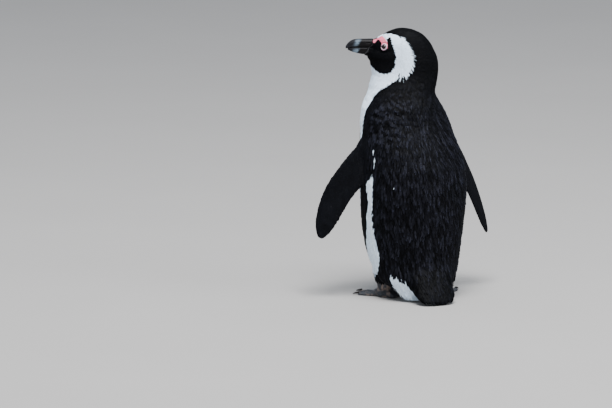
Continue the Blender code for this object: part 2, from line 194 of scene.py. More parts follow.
# behind the legs the plumage is white again: angle, and the level that it reaches
VENT_EDGE = ((106, -9), (112, 46), (118, 44), (134, 34), (143, 21), (150, 8), (156, -9))
VENT_FAR_LEVEL = 13  # on the right side only the lowest of it is white, mm
# a band is a bent middle line of angle and level, with its half width in mm
BREAST_BAND = (
    (0, 292, 13), (30, 295, 12.5), (54, 288, 12.5), (70, 268, 14), (78, 245, 16),
    (82, 215, 17.5), (83, 190, 18.5), (84, 171, 19), (79, 150, 18), (76, 131, 17),
    (68, 97, 12.5), (58, 66, 9), (49, 42, 7), (43, 25, 5))
# white shows in a slit between the flipper's root and the back, and is wider below it
SLIT = ((107.4, 236, 0.9), (108.2, 246, 1.1), (106.3, 268, 0.9))
SLIT_ROOT = ((100, 204, 9), (105, 219.5, 3.2))
FLECK = (133.4, 206.5, 1.7)  # one white feather tip on the back
BODY_RADIUS = 90
DEGREE = math.radians(1) * BODY_RADIUS  # one degree round the body, mm
SPOT_COUNT = 15
# black spots on the breast: angle, level and radius in mm
SPOTS = [(chance.uniform(-52, 52), chance.uniform(70, 262), chance.uniform(1.6, 3.4))
         for _ in range(SPOT_COUNT)]


def line_gap(x, y, line):
    """Distance from each place to a bent line of (x, y, half width), less that width."""
    gap = np.full(len(x), 1e9)
    for (x0, y0, w0), (x1, y1, w1) in zip(line, line[1:]):
        run, rise = x1 - x0, y1 - y0
        t = np.clip(((x - x0) * run + (y - y0) * rise) / (run * run + rise * rise), 0, 1)
        reach = np.hypot(x - x0 - t * run, y - y0 - t * rise)
        gap = np.minimum(gap, reach - (w0 + t * (w1 - w0)))
    return gap


def band_gap(angle, level, band):
    """Distance on the body from the edge of a band, less than 0 inside it, mm."""
    return line_gap(angle * DEGREE, level, np.array(band) * (DEGREE, 1, 1))


def off_spot(angle, level, spot):
    """True outside a round spot of (angle, level, radius)."""
    return np.hypot((angle - spot[0]) * DEGREE, level - spot[1]) > spot[2]


def in_slit(points):
    angle, level, _ = body_place(points)
    return band_gap(angle, level, SLIT) < 0


def body_white(points):
    angle, level, _ = body_place(points)
    side = np.abs(angle)
    white = (side < look_up(level, BACK_EDGE)) & (band_gap(side, level, BREAST_BAND) > 0)
    vent = level < look_up(side, VENT_EDGE)
    white |= vent & ((angle > 0) | (level < VENT_FAR_LEVEL))
    white |= in_slit(points) | (band_gap(angle, level, SLIT_ROOT) < 0)
    for spot in SPOTS:
        white &= off_spot(angle, level, spot)
    return white | ~off_spot(angle, level, FLECK)


print("body: breast band, back edge and", SPOT_COUNT, "spots")

# %% [markdown]
# The head's markings are closed outlines seen from its side, forward and level, the same
# on both sides. The white loop is one outline and the black mask inside it another. The
# bare skin over the eye and the edge of the horn bill are drawn the same way.

# %% Outlines on the head
def inside(x, y, outline):
    """True where a place lies inside a closed outline of (x, y) corners."""
    hit = np.zeros(len(x), bool)
    for (x0, y0), (x1, y1) in zip(outline, outline[1:] + outline[:1]):
        if y0 != y1:
            crosses = (y0 > y) != (y1 > y)
            hit ^= crosses & (x < (x1 - x0) * (y - y0) / (y1 - y0) + x0)
    return hit


WHITE_LOOP = [(92, 478), (53, 474.5), (41, 471.5), (32, 470.5), (27, 468.5), (22, 465),
              (17, 460), (12.5, 453.5), (9.7, 446), (8, 438), (6.8, 429), (7.6, 421), (10, 414),
              (14.5, 408.5), (21, 404), (26.9, 401.5), (27.1, 391), (92, 391)]
MASK = [(92, 466), (66, 464), (54, 462), (47, 459), (43.4, 466.5), (40.8, 466.5), (37.5, 456),
        (34, 446), (31, 435), (30.6, 427), (32, 417), (36.5, 408.5), (43.5, 402.5), (52, 399.8),
        (60, 401.5), (67.5, 405.5), (75, 412.5), (92, 424)]
BARE = [(72.6, 455.5), (73.6, 458.5), (70.5, 462.5), (66.5, 466), (61.5, 468.2), (57, 467.6),
        (52.5, 464.6), (48.8, 460.5), (47, 455), (47.5, 447.5), (57, 447.5), (58.6, 453),
        (59.6, 457.2), (61.5, 460.4), (64.3, 461.2), (67.2, 458.6), (69.6, 455)]
BARE_ASIDE = 3.5  # feathers part the bare skin of the two sides over the bill, mm
# the black of the forehead narrows towards the bill: forward and half width, mm
CROWN_WEDGE = ((38, 12), (47, 7), (55, 0))
CROWN_LEVEL = 460


def head_white(points):
    ahead, level, aside = head_place(points)
    white = inside(ahead, level, WHITE_LOOP) & ~inside(ahead, level, MASK)
    return white & ~((np.abs(aside) < look_up(ahead, CROWN_WEDGE)) & (level > CROWN_LEVEL))


# where the horn of the bill comes out of the feathers: level and distance forward, mm
HORN_EDGE = ((430, 93), (435, 88), (440, 84), (446.5, 81), (450, 76.5), (455, 73.5), (462, 72))


def before_horn(points):
    """Distance back from the edge of the horn, mm."""
    ahead, level, _ = head_place(points)
    return look_up(level, HORN_EDGE) - ahead


def bare_face(points):
    """The pink skin without feathers over and round the eye."""
    ahead, level, aside = head_place(points)
    return inside(ahead, level, BARE) & (np.abs(aside) > BARE_ASIDE)


print("head: loop, mask and bare skin of", len(WHITE_LOOP + MASK + BARE), "corners")

# %% [markdown]
# A flipper is black outside. Its inner face is white between black edges, with dark blotches
# from smooth noise. At the end one function answers for the whole bird.

# %% Flippers, and the whole bird
FLIPPER_REACH = (0, 35, 60, 85, 111, 140, 168, 185.5, 193.5)  # down it, mm
FLIPPER_TRAIL = (30, 39, 34, 23, 16, 13.5, 10, 4, -2)  # its trailing and leading edges
FLIPPER_LEAD = (-16, -24, -31, -37, -39.5, -37.5, -30, -20, -11)
LEAD_BLACK, TRAIL_BLACK = 5, 2.5  # how wide the inner face's black edges are, mm
INNER_FACE = -0.9  # the inner face begins this far behind the flipper's middle, mm
WHITE_REACH = (10, 180)  # where down the flipper it is white, mm
BLOTCH = 0.26  # noise above this makes a dark blotch
HEAD_LEVEL = 392  # above this the head's outlines hold, mm


def wander(points, size, shift=0):
    """Smooth noise between about -1 and 1 with blobs of the given size in mm."""
    scaled = points / (np.asarray(size) * MM) + shift
    return np.array([noise.noise(p) for p in scaled.tolist()])


def flipper_white(points, name):
    along, chord, outer = flipper_place(points, name)
    blotch = wander(points, (6, 6, 10), 3.1)
    lead = np.interp(along, FLIPPER_REACH, FLIPPER_LEAD)
    trail = np.interp(along, FLIPPER_REACH, FLIPPER_TRAIL)
    inner = between(chord, lead + LEAD_BLACK, trail - TRAIL_BLACK)
    return inner & between(along, *WHITE_REACH) & (outer < INNER_FACE) & (blotch < BLOTCH)


LEGS, FEET = ("leg_left", "leg_right"), ("foot_left", "foot_right")
BILL = ("bill_upper", "bill_lower")
FACE = ("head", *BILL)
PARTS = ("trunk", "neck", "head", "tail", *FLIPPERS, *LEGS, *FEET, *BILL)


def is_part(part, *names):
    return np.isin(part, [PARTS.index(name) for name in names])


def white_at(points, part):
    """True where the plumage is white."""
    high = points[:, 2] > HEAD_LEVEL * MM
    white = np.where(high, head_white(points), body_white(points))
    for name in FLIPPERS:
        here = is_part(part, name)
        if here.any():
            white[here] = flipper_white(points[here], name)
    return white & ~is_part(part, *LEGS, *BILL, "tail")


print("the bird's flesh:", *PARTS)

# %% [markdown]
# ## One skin
# Under the feathers one skin runs from the bill to the toes. It could be sculpted afresh,
# but the solids already have the true outline, so copies of them are swollen a little until
# they overlap, and a voxel remesh melts them into a single closed surface with no seam.
# A smoothing modifier softens the joins, and Decimate thins the plain parts of the body.

# %% Melt the flesh into one surface
SWELL = 0.4 * MM
VOXEL = 1.25 * MM


def shell(name, swell):
    """A merged copy of a solid, swollen along its normals."""
    grown = bmesh.new()
    grown.from_mesh(frame["nodes"][name].data)
    bmesh.ops.remove_doubles(grown, verts=grown.verts, dist=1e-6)
    grown.normal_update()
    for vert in grown.verts:
        vert.co += vert.normal * swell
    data = bpy.data.meshes.new(name + "_copy")
    grown.to_mesh(data)
    grown.free()
    return data


def new_object(name, data):
    made = bpy.data.objects.new(name, data)
    bpy.context.scene.collection.objects.link(made)
    return made


def only(thing):
    """Select one object and nothing else."""
    bpy.ops.object.select_all(action="DESELECT")
    thing.select_set(True)
    bpy.context.view_layer.objects.active = thing


def apply_all(thing):
    only(thing)
    for modifier in list(thing.modifiers):
        bpy.ops.object.modifier_apply(modifier=modifier.name)


def joined(name, sources, swell):
    """One object from swollen copies of several solids."""
    copies = [new_object(source, shell(source, swell)) for source in sources]
    bpy.ops.object.select_all(action="DESELECT")
    for copy in copies:
        copy.select_set(True)
    bpy.context.view_layer.objects.active = copies[0]
    bpy.ops.object.join()
    made = bpy.context.view_layer.objects.active
    made.name = name
    made.data.name = name
    return made


def melt(thing, voxel, smooth_times):
    remesh = thing.modifiers.new("melt", "REMESH")
    remesh.mode = "VOXEL"
    remesh.voxel_size = voxel
    thing.modifiers.new("even", "SMOOTH").iterations = smooth_times
    apply_all(thing)


def arrays(thing):
    """Places, normals and triangles of a mesh."""
    data = thing.data
    places = np.empty(len(data.vertices) * 3)
    data.vertices.foreach_get("co", places)
    ways = np.empty(len(data.vertices) * 3)
    data.vertices.foreach_get("normal", ways)
    data.calc_loop_triangles()
    corners = np.empty(len(data.loop_triangles) * 3, np.int32)
    data.loop_triangles.foreach_get("vertices", corners)
    return places.reshape(-1, 3), ways.reshape(-1, 3), corners.reshape(-1, 3)


def put(thing, places):
    thing.data.vertices.foreach_set("co", np.ascontiguousarray(places).ravel())
    thing.data.update()


skin = joined("skin", PARTS + ("eye_left", "eye_right"), SWELL)
melt(skin, VOXEL, 3)
print("one surface of", len(skin.data.polygons), "faces")

# %% [markdown]
# A vertex group tells Decimate where it may thin. The face and feet keep every face they
# have, because lids, toes and creases need them; the smooth body can do with far fewer.
# The skin round the eyes is then divided again, because the lids are thin.

# %% Keep the mesh fine on face and feet
SHARE_KEPT = 0.26  # of all faces
FOOT_LEVEL = 24
FACE_AHEAD, FACE_LEVEL = 25, 420
LID_FIELD = 10.5 * MM  # round each eye's middle

places, _, _ = arrays(skin)
ahead, level, _ = head_place(places)
plain = ~(((level > FACE_LEVEL) & (ahead > FACE_AHEAD)) | (level < FOOT_LEVEL))
group = skin.vertex_groups.new(name="plain")
group.add([int(i) for i in np.flatnonzero(plain)], 1, "REPLACE")
thin = skin.modifiers.new("thin", "DECIMATE")
thin.ratio = SHARE_KEPT
thin.vertex_group = "plain"
apply_all(skin)
skin.vertex_groups.clear()


def divide(thing, picked):
    """Subdivide the edges whose two ends are both picked."""
    finer = bmesh.new()
    finer.from_mesh(thing.data)
    edges = [e for e in finer.edges if picked[e.verts[0].index] and picked[e.verts[1].index]]
    bmesh.ops.subdivide_edges(finer, edges=edges, cuts=1, use_grid_fill=True)
    bmesh.ops.triangulate(finer, faces=finer.faces)
    finer.to_mesh(thing.data)
    finer.free()
    thing.data.update()


def near_face(points):
    """The bare skin and the feathers next to it."""
    ahead, level, _ = head_place(points)
    return between(ahead, 41, 80) & between(level, 442, 478)


def eye_gap(points):
    return np.minimum(*(np.linalg.norm(points - EYES[s], axis=1) for s in (1, -1)))


divide(skin, near_face(arrays(skin)[0]))
divide(skin, eye_gap(arrays(skin)[0]) < LID_FIELD)
print("after thinning and dividing:", len(skin.data.polygons), "faces")

# %% [markdown]
# Every point of the skin is told which solid it came from, by asking for the nearest face
# of the solids. A BVH tree answers that quickly. The same kind of tree, built later on the
# finished skin, lets each feather walk over the surface.

# %% Which part each place belongs to
solid_places, solid_faces, solid_part = [], [], []
for number, name in enumerate(PARTS):
    data = frame["nodes"][name].data
    data.calc_loop_triangles()
    start = len(solid_places)
    solid_places += [tuple(v.co) for v in data.vertices]
    solid_faces += [tuple(i + start for i in t.vertices) for t in data.loop_triangles]
    solid_part += [number] * len(data.loop_triangles)
solid_tree = BVHTree.FromPolygons(solid_places, solid_faces)
solid_part = np.array(solid_part)


def part_at(points):
    return solid_part[[solid_tree.find_nearest(p)[2] for p in points.tolist()]]


places, ways, _ = arrays(skin)
part = part_at(places)
print({name: int((part == k).sum()) for k, name in enumerate(PARTS)})

# %% [markdown]
# The solids go out to the feather tips, so the skin sinks by the depth of the coat: about
# three millimetres on the body, half of that on the head, under one on the flippers and
# nothing on the feet. The bare pink skin over the eye stays level with the feathers round
# it, and under the horn the skin sinks out of sight.

# %% How deep the coat is
COAT_DEPTH = ((330, 3), (390, 2.4), (430, 1.6))  # level and depth on the body, mm
LEG_DEPTH = 1.7
BARE_DEPTH = 0.30
ROUND_HORN, UNDER_HORN = 0.45, 1.6
CHIN_FORWARD, CHIN_LEVEL = 82, 433  # where feathers fill the corner under the bill, mm
CHIN_SIZE, CHIN_FILL = 6.5, 2.6


def on_flippers(values, points, part, start, drop, reach):
    """Values set anew on the flippers: start at the root, less a drop within the reach."""
    for name in FLIPPERS:
        along, _, _ = flipper_place(points, name)
        values = np.where(is_part(part, name), start - drop * ease(along, *reach), values)
    return values


def coat_depth(points, part):
    """Depth of the feathers in mm, less towards the bill and most at the tail's root."""
    ahead, level, _ = head_place(points)
    depth = look_up(level, COAT_DEPTH)
    depth = np.where(level > 400, depth - 0.8 * ease(ahead, 48, 72), depth)
    depth = np.where(is_part(part, *LEGS), LEG_DEPTH * ease(level, 14, 30), depth)
    depth = np.where(is_part(part, "tail"), 3.6 - 1.6 * fall(level, 4, 40), depth)
    depth = on_flippers(depth, points, part, 1.5, 0.9, (10, 120))
    depth = np.where(is_part(part, *FEET), 0, depth)
    horn = np.where(before_horn(points) > 0, ROUND_HORN, UNDER_HORN)
    return np.where(is_part(part, *BILL), horn, depth)


def chin(points, ways):
    """How far the chin's feathers stand below the solid, mm."""
    ahead, level, _ = head_place(points)
    bulge = np.exp(-((ahead - CHIN_FORWARD) / CHIN_SIZE) ** 2
                   - ((level - CHIN_LEVEL) / CHIN_SIZE) ** 2)
    return CHIN_FILL * bulge * ease(-ways[:, 2], 0.05, 0.6)


depth = coat_depth(places, part)
depth -= chin(places, ways) * is_part(part, *FACE)
bare = bare_face(places) & is_part(part, *FACE)
depth = np.where(bare, BARE_DEPTH, depth)
print("coat depth from", round(depth.min(), 2), "to", round(depth.max(), 2), "mm")

# %% [markdown]
# The neck is turned, so the upper back carries soft folds that run round the shoulder. The
# flippers' roots and the tail's root are evened out first, because two solids that meet at
# an angle leave a crease that no bird has.

# %% Sink the skin
FOLD_STEP, FOLD_HEIGHT = 9.5, 0.75  # from fold to fold, and how high they stand, mm
EVEN_TIMES = 70
edges = np.array([tuple(e.vertices) for e in skin.data.edges])


def folds(points):
    """Height of the soft folds round the turned shoulder, mm."""
    angle, level, _ = body_place(points)
    bend = wander(points, (30, 30, 18), 1.7)
    rings = np.sin(2 * math.pi * (level + 7 * bend + 0.10 * angle) / FOLD_STEP)
    where = window(level, 262, 300, 338, 364)
    where *= window(angle % 360, 78, 110, 160, 250)
    return FOLD_HEIGHT * rings * where


def even(values, share, times):
    """Move the values at the vertices by a share towards the mean of their neighbours."""
    count = np.bincount(edges.ravel(), minlength=len(values)).astype(float)[:, None]
    for _ in range(times):
        total = np.zeros_like(values)
        np.add.at(total, edges[:, 0], values[edges[:, 1]])
        np.add.at(total, edges[:, 1], values[edges[:, 0]])
        values = values + share * (total / np.maximum(count, 1) - values)
    return values


angle, level, _ = body_place(places)
joint = ease(np.abs(angle), 128, 142) * ease(level, 14, 26) * fall(level, 80, 96)
for name in FLIPPERS:
    reach = np.linalg.norm(places - flipper_axes(name)[0], axis=1) / MM
    joint = np.maximum(joint, fall(reach, 24, 44))
put(skin, even(places, 0.6 * joint[:, None], EVEN_TIMES))
places, ways, _ = arrays(skin)
depth = even(depth[:, None], 0.5, 5)[:, 0]
is_body = is_part(part, "trunk", "neck")
places = places - ways * ((depth * MM + SWELL) - folds(places) * is_body * MM)[:, None]
put(skin, places)
print("sunk by", round(depth.mean(), 2), "mm on average")

# %% [markdown]
# ## Lids
# A penguin's eye sits in a round opening with a thin swollen rim of bare skin. Here the
# skin is pushed along the eye's own axis: sunk behind the eyeball, raised in a ring just
# outside it, then let down to the cheek. The height depends only on the distance from the
# axis, so a short table of that profile makes the rim. Sine waves wrinkle it finely.

# %% Shape the eye openings
EYE_RADIUS = 6.3
LID_PROFILE = ((0, 1.4), (3.7, 1.8), (4.2, 4), (4.5, 4.9), (4.9, 5.3), (5.4, 5.2),
               (5.9, 4.6), (6.4, 3.8), (7, 3.1), (7.8, 2.5))  # from the axis, out, mm
LID_INNER, LID_OUTER = 4.4, 6.2
WRINKLES, WRINKLE_HEIGHT = 15, 0.16  # how many run round the lid, and their height in mm


def eye_axis(side):
    places, ways, _ = arrays(skin)
    reach = np.linalg.norm(places - EYES[side], axis=1) / MM
    return unit(ways[between(reach, 9, 14)].mean(axis=0))


EYE_AXES = {side: eye_axis(side) for side in (1, -1)}


def eye_places(points, side):
    """Distance from the eye's axis and out along it, mm, and the angle round it."""
    away = (points - EYES[side]) / MM
    out = away @ EYE_AXES[side]
    flat = away - out[:, None] * EYE_AXES[side]
    return np.linalg.norm(flat, axis=1), out, np.arctan2(flat[:, 2], flat @ AHEAD)


def near_eye(points, side, radius):
    reach, out, _ = eye_places(points, side)
    return (reach < radius) & between(out, -2, 9)


for side in (1, -1):
    places, _, _ = arrays(skin)
    reach, out, turn = eye_places(places, side)
    height = look_up(reach, LID_PROFILE)
    rim = np.exp(-((reach - 5) / 1.1) ** 2)
    height += WRINKLE_HEIGHT * rim * np.sin(WRINKLES * turn + 2 * np.sin(3 * turn))
    share = near_eye(places, side, 9.5) * fall(reach, 7.2, 9.3)
    places += (share * (height - out))[:, None] * EYE_AXES[side] * MM
    put(skin, places)
print("eye axes", {s: a.round(2).tolist() for s, a in EYE_AXES.items()})

# %% [markdown]
# ## Colours on the skin
# The skin shows only on the bare face, the feet and in the gaps of the coat, but it carries
# the same markings as the feathers. Each vertex gets a colour in an attribute, and the
# material reads it. Penguin feet are dark with paler, flesh-coloured blotches.

# %% Paint the skin's vertices
BLACK = np.array((0.0023, 0.0024, 0.0034))
WHITE = np.array((0.75, 0.865, 0.99))
PINK = np.array((0.62, 0.115, 0.185))
LID = np.array((0.60, 0.38, 0.46))
FOOT_DARK = np.array((0.018, 0.020, 0.026))
FOOT_TAN = np.array((0.150, 0.112, 0.092))
SHANK_TOP = 31  # feathers of the leg grow from above this, mm
SHANK_STRIPE = 4.9  # how far the shank's tan stripes stand from its middle, mm
SHANK_REACH = 26
ACROSS_SHANK = unit(np.array((-0.906, 0.423, 0)))


def blend(first, second, share):
    """Two colours mixed, with one share of the second for each place."""
    return first * (1 - share[:, None]) + second * share[:, None]


def foot_colour(points):
    """Dark skin with tan blotches, most of them high on the foot, and two stripes above."""
    level = points[:, 2] / MM
    blotch = wander(points, (9, 9, 7), 5.3) + 0.5 * wander(points, (3.5, 3.5, 3.5), 2.2)
    share = 0.8 * ease(blotch + 0.25 * ease(level, 6, 20), 0.16, 0.48)
    for name in LEGS:
        away = (points - middle(name)) / MM
        beside = np.abs(away @ ACROSS_SHANK) + 1.6 * wander(points, (5, 5, 9), 1.9)
        stripe = fall(np.abs(beside - SHANK_STRIPE), 1.4, 2.6) * ease(level, 10, 15)
        near = np.hypot(away[:, 0], away[:, 1]) < SHANK_REACH
        share = np.maximum(share, stripe * near)
    return blend(FOOT_DARK, FOOT_TAN, share)


def mottle(points, amount, size):
    return 1 + amount * wander(points, (size, size, size), 7.7)[:, None]


def paint(thing, colours):
    layer = thing.data.color_attributes.new("coat", "FLOAT_COLOR", "POINT")
    rgba = np.ones((len(colours), 4))
    rgba[:, :3] = np.clip(colours, 0, 1)
    layer.data.foreach_set("color", rgba.ravel())


places, ways, corners = arrays(skin)
part = part_at(places)
bare = bare_face(places) & is_part(part, *FACE)
colours = np.where(white_at(places, part)[:, None], WHITE * 0.8, BLACK)
pink = PINK * mottle(places, 0.22, 2.4)
colours = np.where(bare[:, None], pink, colours)
lid = LID * mottle(places, 0.10, 1.2)
for side in (1, -1):
    colours = np.where(near_eye(places, side, LID_OUTER)[:, None], lid, colours)
    colours = np.where(near_eye(places, side, LID_INNER)[:, None], BLACK, colours)
foot = np.maximum(is_part(part, *FEET), is_part(part, *LEGS)
                  * fall(places[:, 2] / MM, SHANK_TOP, SHANK_TOP + 4))
paint(skin, blend(colours, foot_colour(places), foot))
print("skin painted:", len(places), "vertices")

# %% [markdown]
# ## Materials
# Every finish is a Principled shader with a procedural pattern. A few helpers keep the node
# trees short: one adds a node with its settings, one joins two sockets. Values that are the
# same all over a surface are set on the shader itself.

# %% Node helpers and the skin's finish
def node(material, kind, **settings):
    made = material.node_tree.nodes.new(kind)
    for key, value in settings.items():
        if key in made.inputs:
            made.inputs[key].default_value = value
        else:
            setattr(made, key, value)
    return made


def wire(material, *pairs):
    for source, target in pairs:
        material.node_tree.links.new(source, target)


def shader_inputs(material):
    return material.node_tree.nodes["Principled BSDF"].inputs


def bump(material, height, strength, distance):
    raised = node(material, "ShaderNodeBump", Strength=strength, Distance=distance)
    wire(material, (height, raised.inputs["Height"]),
         (raised.outputs["Normal"], shader_inputs(material)["Normal"]))


def finish(name, grain, darkest, palest, relief=None, **settings):
    """A material that reads the vertex colour and makes it uneven by fine noise.

    grain holds the noise's settings. With relief, a strength and a height, the same
    noise also roughens the surface.
    """
    made = bpy.data.materials.new(name)
    made.use_nodes = True
    for key, value in settings.items():
        shader_inputs(made)[key.replace("_", " ")].default_value = value
    place = node(made, "ShaderNodeTexCoord").outputs["Object"]
    speckle = node(made, "ShaderNodeTexNoise", **grain)
    factor = node(made, "ShaderNodeMapRange", **{"To Min": darkest, "To Max": palest})
    colour = node(made, "ShaderNodeAttribute", attribute_name="coat").outputs["Color"]
    mix = node(made, "ShaderNodeMix", data_type="RGBA", blend_type="MULTIPLY", Factor=1)
    wire(made, (place, speckle.inputs["Vector"]),
         (speckle.outputs["Fac"], factor.inputs["Value"]), (colour, mix.inputs["A"]),
         (factor.outputs["Result"], mix.inputs["B"]),
         (mix.outputs["Result"], shader_inputs(made)["Base Color"]))
    if relief:
        bump(made, speckle.outputs["Fac"], *relief)
    return made


def dress(piece, look, slot, *solids):
    """Finish a piece, put it in the root body and hide the solids that it replaces. The slot is
    not used.
    """
    piece.data.materials.clear()
    piece.data.materials.append(look)
    piece.data.shade_smooth()
    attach(piece, "root")
    if solids:
        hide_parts(*solids)


SKIN = finish("bird_skin", dict(Scale=900, Detail=4), 0.75, 1.25, Roughness=0.55,
              Specular_IOR_Level=0.4)
pores = node(SKIN, "ShaderNodeTexVoronoi", Scale=1100)
wire(SKIN, (node(SKIN, "ShaderNodeTexCoord").outputs["Object"], pores.inputs["Vector"]))
bump(SKIN, pores.outputs["Distance"], 0.5, 0.0006)
dress(skin, SKIN, "plumage", *PARTS[:10])
print("skin has", len(skin.data.polygons), "triangles")

# %% [markdown]
# ## Feather roots
# A bird's feathers grow evenly spaced, closer where they are small. So many places are
# scattered over the skin, more where the spacing is short, and taken in turn: each place
# that is kept removes the others within its spacing. No feather grows on the feet, the
# bill, the bare face or the lids.

# %% Scatter the roots
skin_tree = BVHTree.FromPolygons(places.tolist(), corners.tolist())
# level and the distance between neighbouring feathers, mm
SPACING = ((0, 1.9), (60, 2.05), (190, 2), (255, 1.6), (340, 1.5), (400, 1.35), (440, 1.15))
LEG_SPACING = 1.7
NECK_TOP = 390
LOWEST_ROOT = 13.5
TRIES = 4  # places thrown on the skin for each one wanted


def spacing(points, part):
    """From feather to feather: closer on the face and along the white loop's rear edge."""
    ahead, level, _ = head_place(points)
    gap = look_up(level, SPACING)
    edge = window(ahead, -6, 4, 24, 32) * ease(level, NECK_TOP, 400)
    finer = 0.25 * np.maximum(edge, ease(ahead, 40, 66))
    gap = np.where(level > NECK_TOP, gap - finer, gap)
    gap = on_flippers(gap, points, part, 1.8, 0.4, (20, 150))
    return np.where(is_part(part, *LEGS), LEG_SPACING, gap) * MM


def scatter(gaps, allowed):
    """Spaced places on the skin: faces picked by area over spacing, seeded."""
    a, b, c = (places[corners[:, k]] for k in range(3))
    area = np.linalg.norm(np.cross(b - a, c - a), axis=1) / 2
    gap = gaps[corners].mean(axis=1)
    weight = area / gap ** 2 * allowed[corners].all(axis=1)
    count = int(weight.sum() * TRIES)
    face = np.sort(chance.choice(len(corners), count, p=weight / weight.sum()))
    u, v = chance.random((2, count, 1))
    over = (u + v) > 1
    u, v = np.where(over, 1 - u, u), np.where(over, 1 - v, v)
    spots = a[face] * (1 - u - v) + b[face] * u + c[face] * v
    near = KDTree(count)
    for number, spot in enumerate(spots.tolist()):
        near.insert(spot, number)
    near.balance()
    free = np.ones(count, bool)
    kept = []
    for number in chance.permutation(count).tolist():
        if free[number]:
            kept.append(number)
            found = near.find_range(spots[number], gap[face[number]])
            free[[f[1] for f in found]] = False
    return spots[kept], face[kept]


feathered = ~is_part(part, *FEET) & ~bare_face(places) & (places[:, 2] > LOWEST_ROOT * MM)
feathered &= ~is_part(part, *BILL) | (before_horn(places) > 0.8)
feathered &= ~is_part(part, *LEGS) | (places[:, 2] > SHANK_TOP * MM)
for side in (1, -1):
    feathered &= ~near_eye(places, side, LID_OUTER + 0.3)
roots, root_face = scatter(spacing(places, part), feathered)
root_part = part[corners[root_face][:, 0]]
print("feather roots:", {n: int((root_part == k).sum()) for k, n in enumerate(PARTS[:8])})

# %% [markdown]
# ## The lie of the coat
# Feathers point away from the bill: back over the crown and cheeks, down the neck and
# body, along each flipper to its tip and down the tail. The direction is a mix of these,
# laid flat on the skin, and slow noise makes neighbours lean together in strands.

# %% Which way feathers point
DOWN = -UP
TAIL_WAY = unit(np.array((0.02, 0.66, -0.75)))
UNDER_WAY = np.array((0, 0.8, 0))  # under the body feathers run back to the tail
FLIPPER_SLANT = 0.22
SWING, LEAN = 0.30, 0.075  # how far strands and single feathers turn aside, radians


def land(points):
    """Nearest skin to each point, and the skin's smooth normal there."""
    found = [skin_tree.find_nearest(p) for p in points.tolist()]
    spot = np.array([f[0] for f in found])
    tri = corners[[f[2] for f in found]]
    a, b, c = (places[tri[:, k]] for k in range(3))
    whole = np.linalg.norm(np.cross(b - a, c - a), axis=1) + 1e-15
    wa = np.linalg.norm(np.cross(b - spot, c - spot), axis=1) / whole
    wb = np.linalg.norm(np.cross(c - spot, a - spot), axis=1) / whole
    wc = np.clip(1 - wa - wb, 0, 1)
    up = ways[tri[:, 0]] * wa[:, None] + ways[tri[:, 1]] * wb[:, None]
    return spot, unit(up + ways[tri[:, 2]] * wc[:, None])


def lie(points, part):
    """The way feathers point before they are laid flat on the skin."""
    ahead, level, _ = head_place(points)
    high = ease(level, 388, 440)[:, None]
    way = DOWN * (1 - 0.62 * high) - AHEAD * high
    under = fall(points[:, 2] / MM, 25, 80)[:, None]
    way = way + UNDER_WAY * under
    way = np.where(is_part(part, "tail")[:, None], TAIL_WAY, way)
    for name in FLIPPERS:
        _, along, chord, _ = flipper_axes(name)
        way = np.where(is_part(part, name)[:, None], along + FLIPPER_SLANT * chord, way)
    return np.where(is_part(part, *LEGS)[:, None], DOWN, way)


def flat(way, up):
    return unit(way - up * (way * up).sum(axis=1, keepdims=True))


def turned(way, up, angle):
    """A direction turned round the skin's normal by an angle in radians."""
    return way * np.cos(angle)[:, None] + np.cross(up, way) * np.sin(angle)[:, None]


_, up = land(roots)
strand = wander(roots, (9, 9, 26), 0.4)
print("strands swing aside by up to", round(math.degrees(SWING * np.abs(strand).max())),
      "degrees")

# %% [markdown]
# Body feathers are about 15 mm long, those of the face 3 to 6. Behind the white loop of the
# head they end in points that cut into the black, so their length follows a zigzag there.
# Each feather then walks over the surface in a few steps, finding the nearest skin each
# time, so it hugs the body. The white ones under the tail hang loose instead.

# %% Walk each feather over the skin
RINGS = np.array((0, 0.45, 0.86, 1))  # where along the feather its shape is set
# level and length of the feathers, mm
LENGTH = ((0, 19), (60, 18), (120, 16), (300, 15), (350, 12), (400, 8.5), (440, 6.2))
LEG_LENGTH = 8
LOOP_BACK = 27  # the feathers of the loop's rear edge grow behind this, mm
TOOTH = 4.4  # the points of that edge are this far apart, mm
LOOP_MIDDLE = (35, 440)  # forward and level, mm
LOOP_RADIUS = 33
VENT_DROOP = 15  # the white feathers under the tail hang this far, mm
CLEARANCE = 5  # and stop this far above the floor, mm


def feather_length(points, part):
    """Length in mm, shorter towards the bill and down the flippers."""
    ahead, level, _ = head_place(points)
    size = look_up(level, LENGTH)
    size = np.where(level > 400, size - 2.8 * ease(ahead, 40, 68), size)
    size = on_flippers(size, points, part, 9, 3.4, (0, 70))
    return np.where(is_part(part, *LEGS), LEG_LENGTH, size)


def teeth(points):
    """How far the feathers of the loop's rear edge reach, in points from 0 to 1."""
    ahead, level, _ = head_place(points)
    turn = np.arctan2(level - LOOP_MIDDLE[1], LOOP_MIDDLE[0] - ahead)
    phase = turn * LOOP_RADIUS / TOOTH + 0.9 * wander(points, (9, 9, 9), 5.5)
    return np.abs(2 * (phase % 1) - 1)


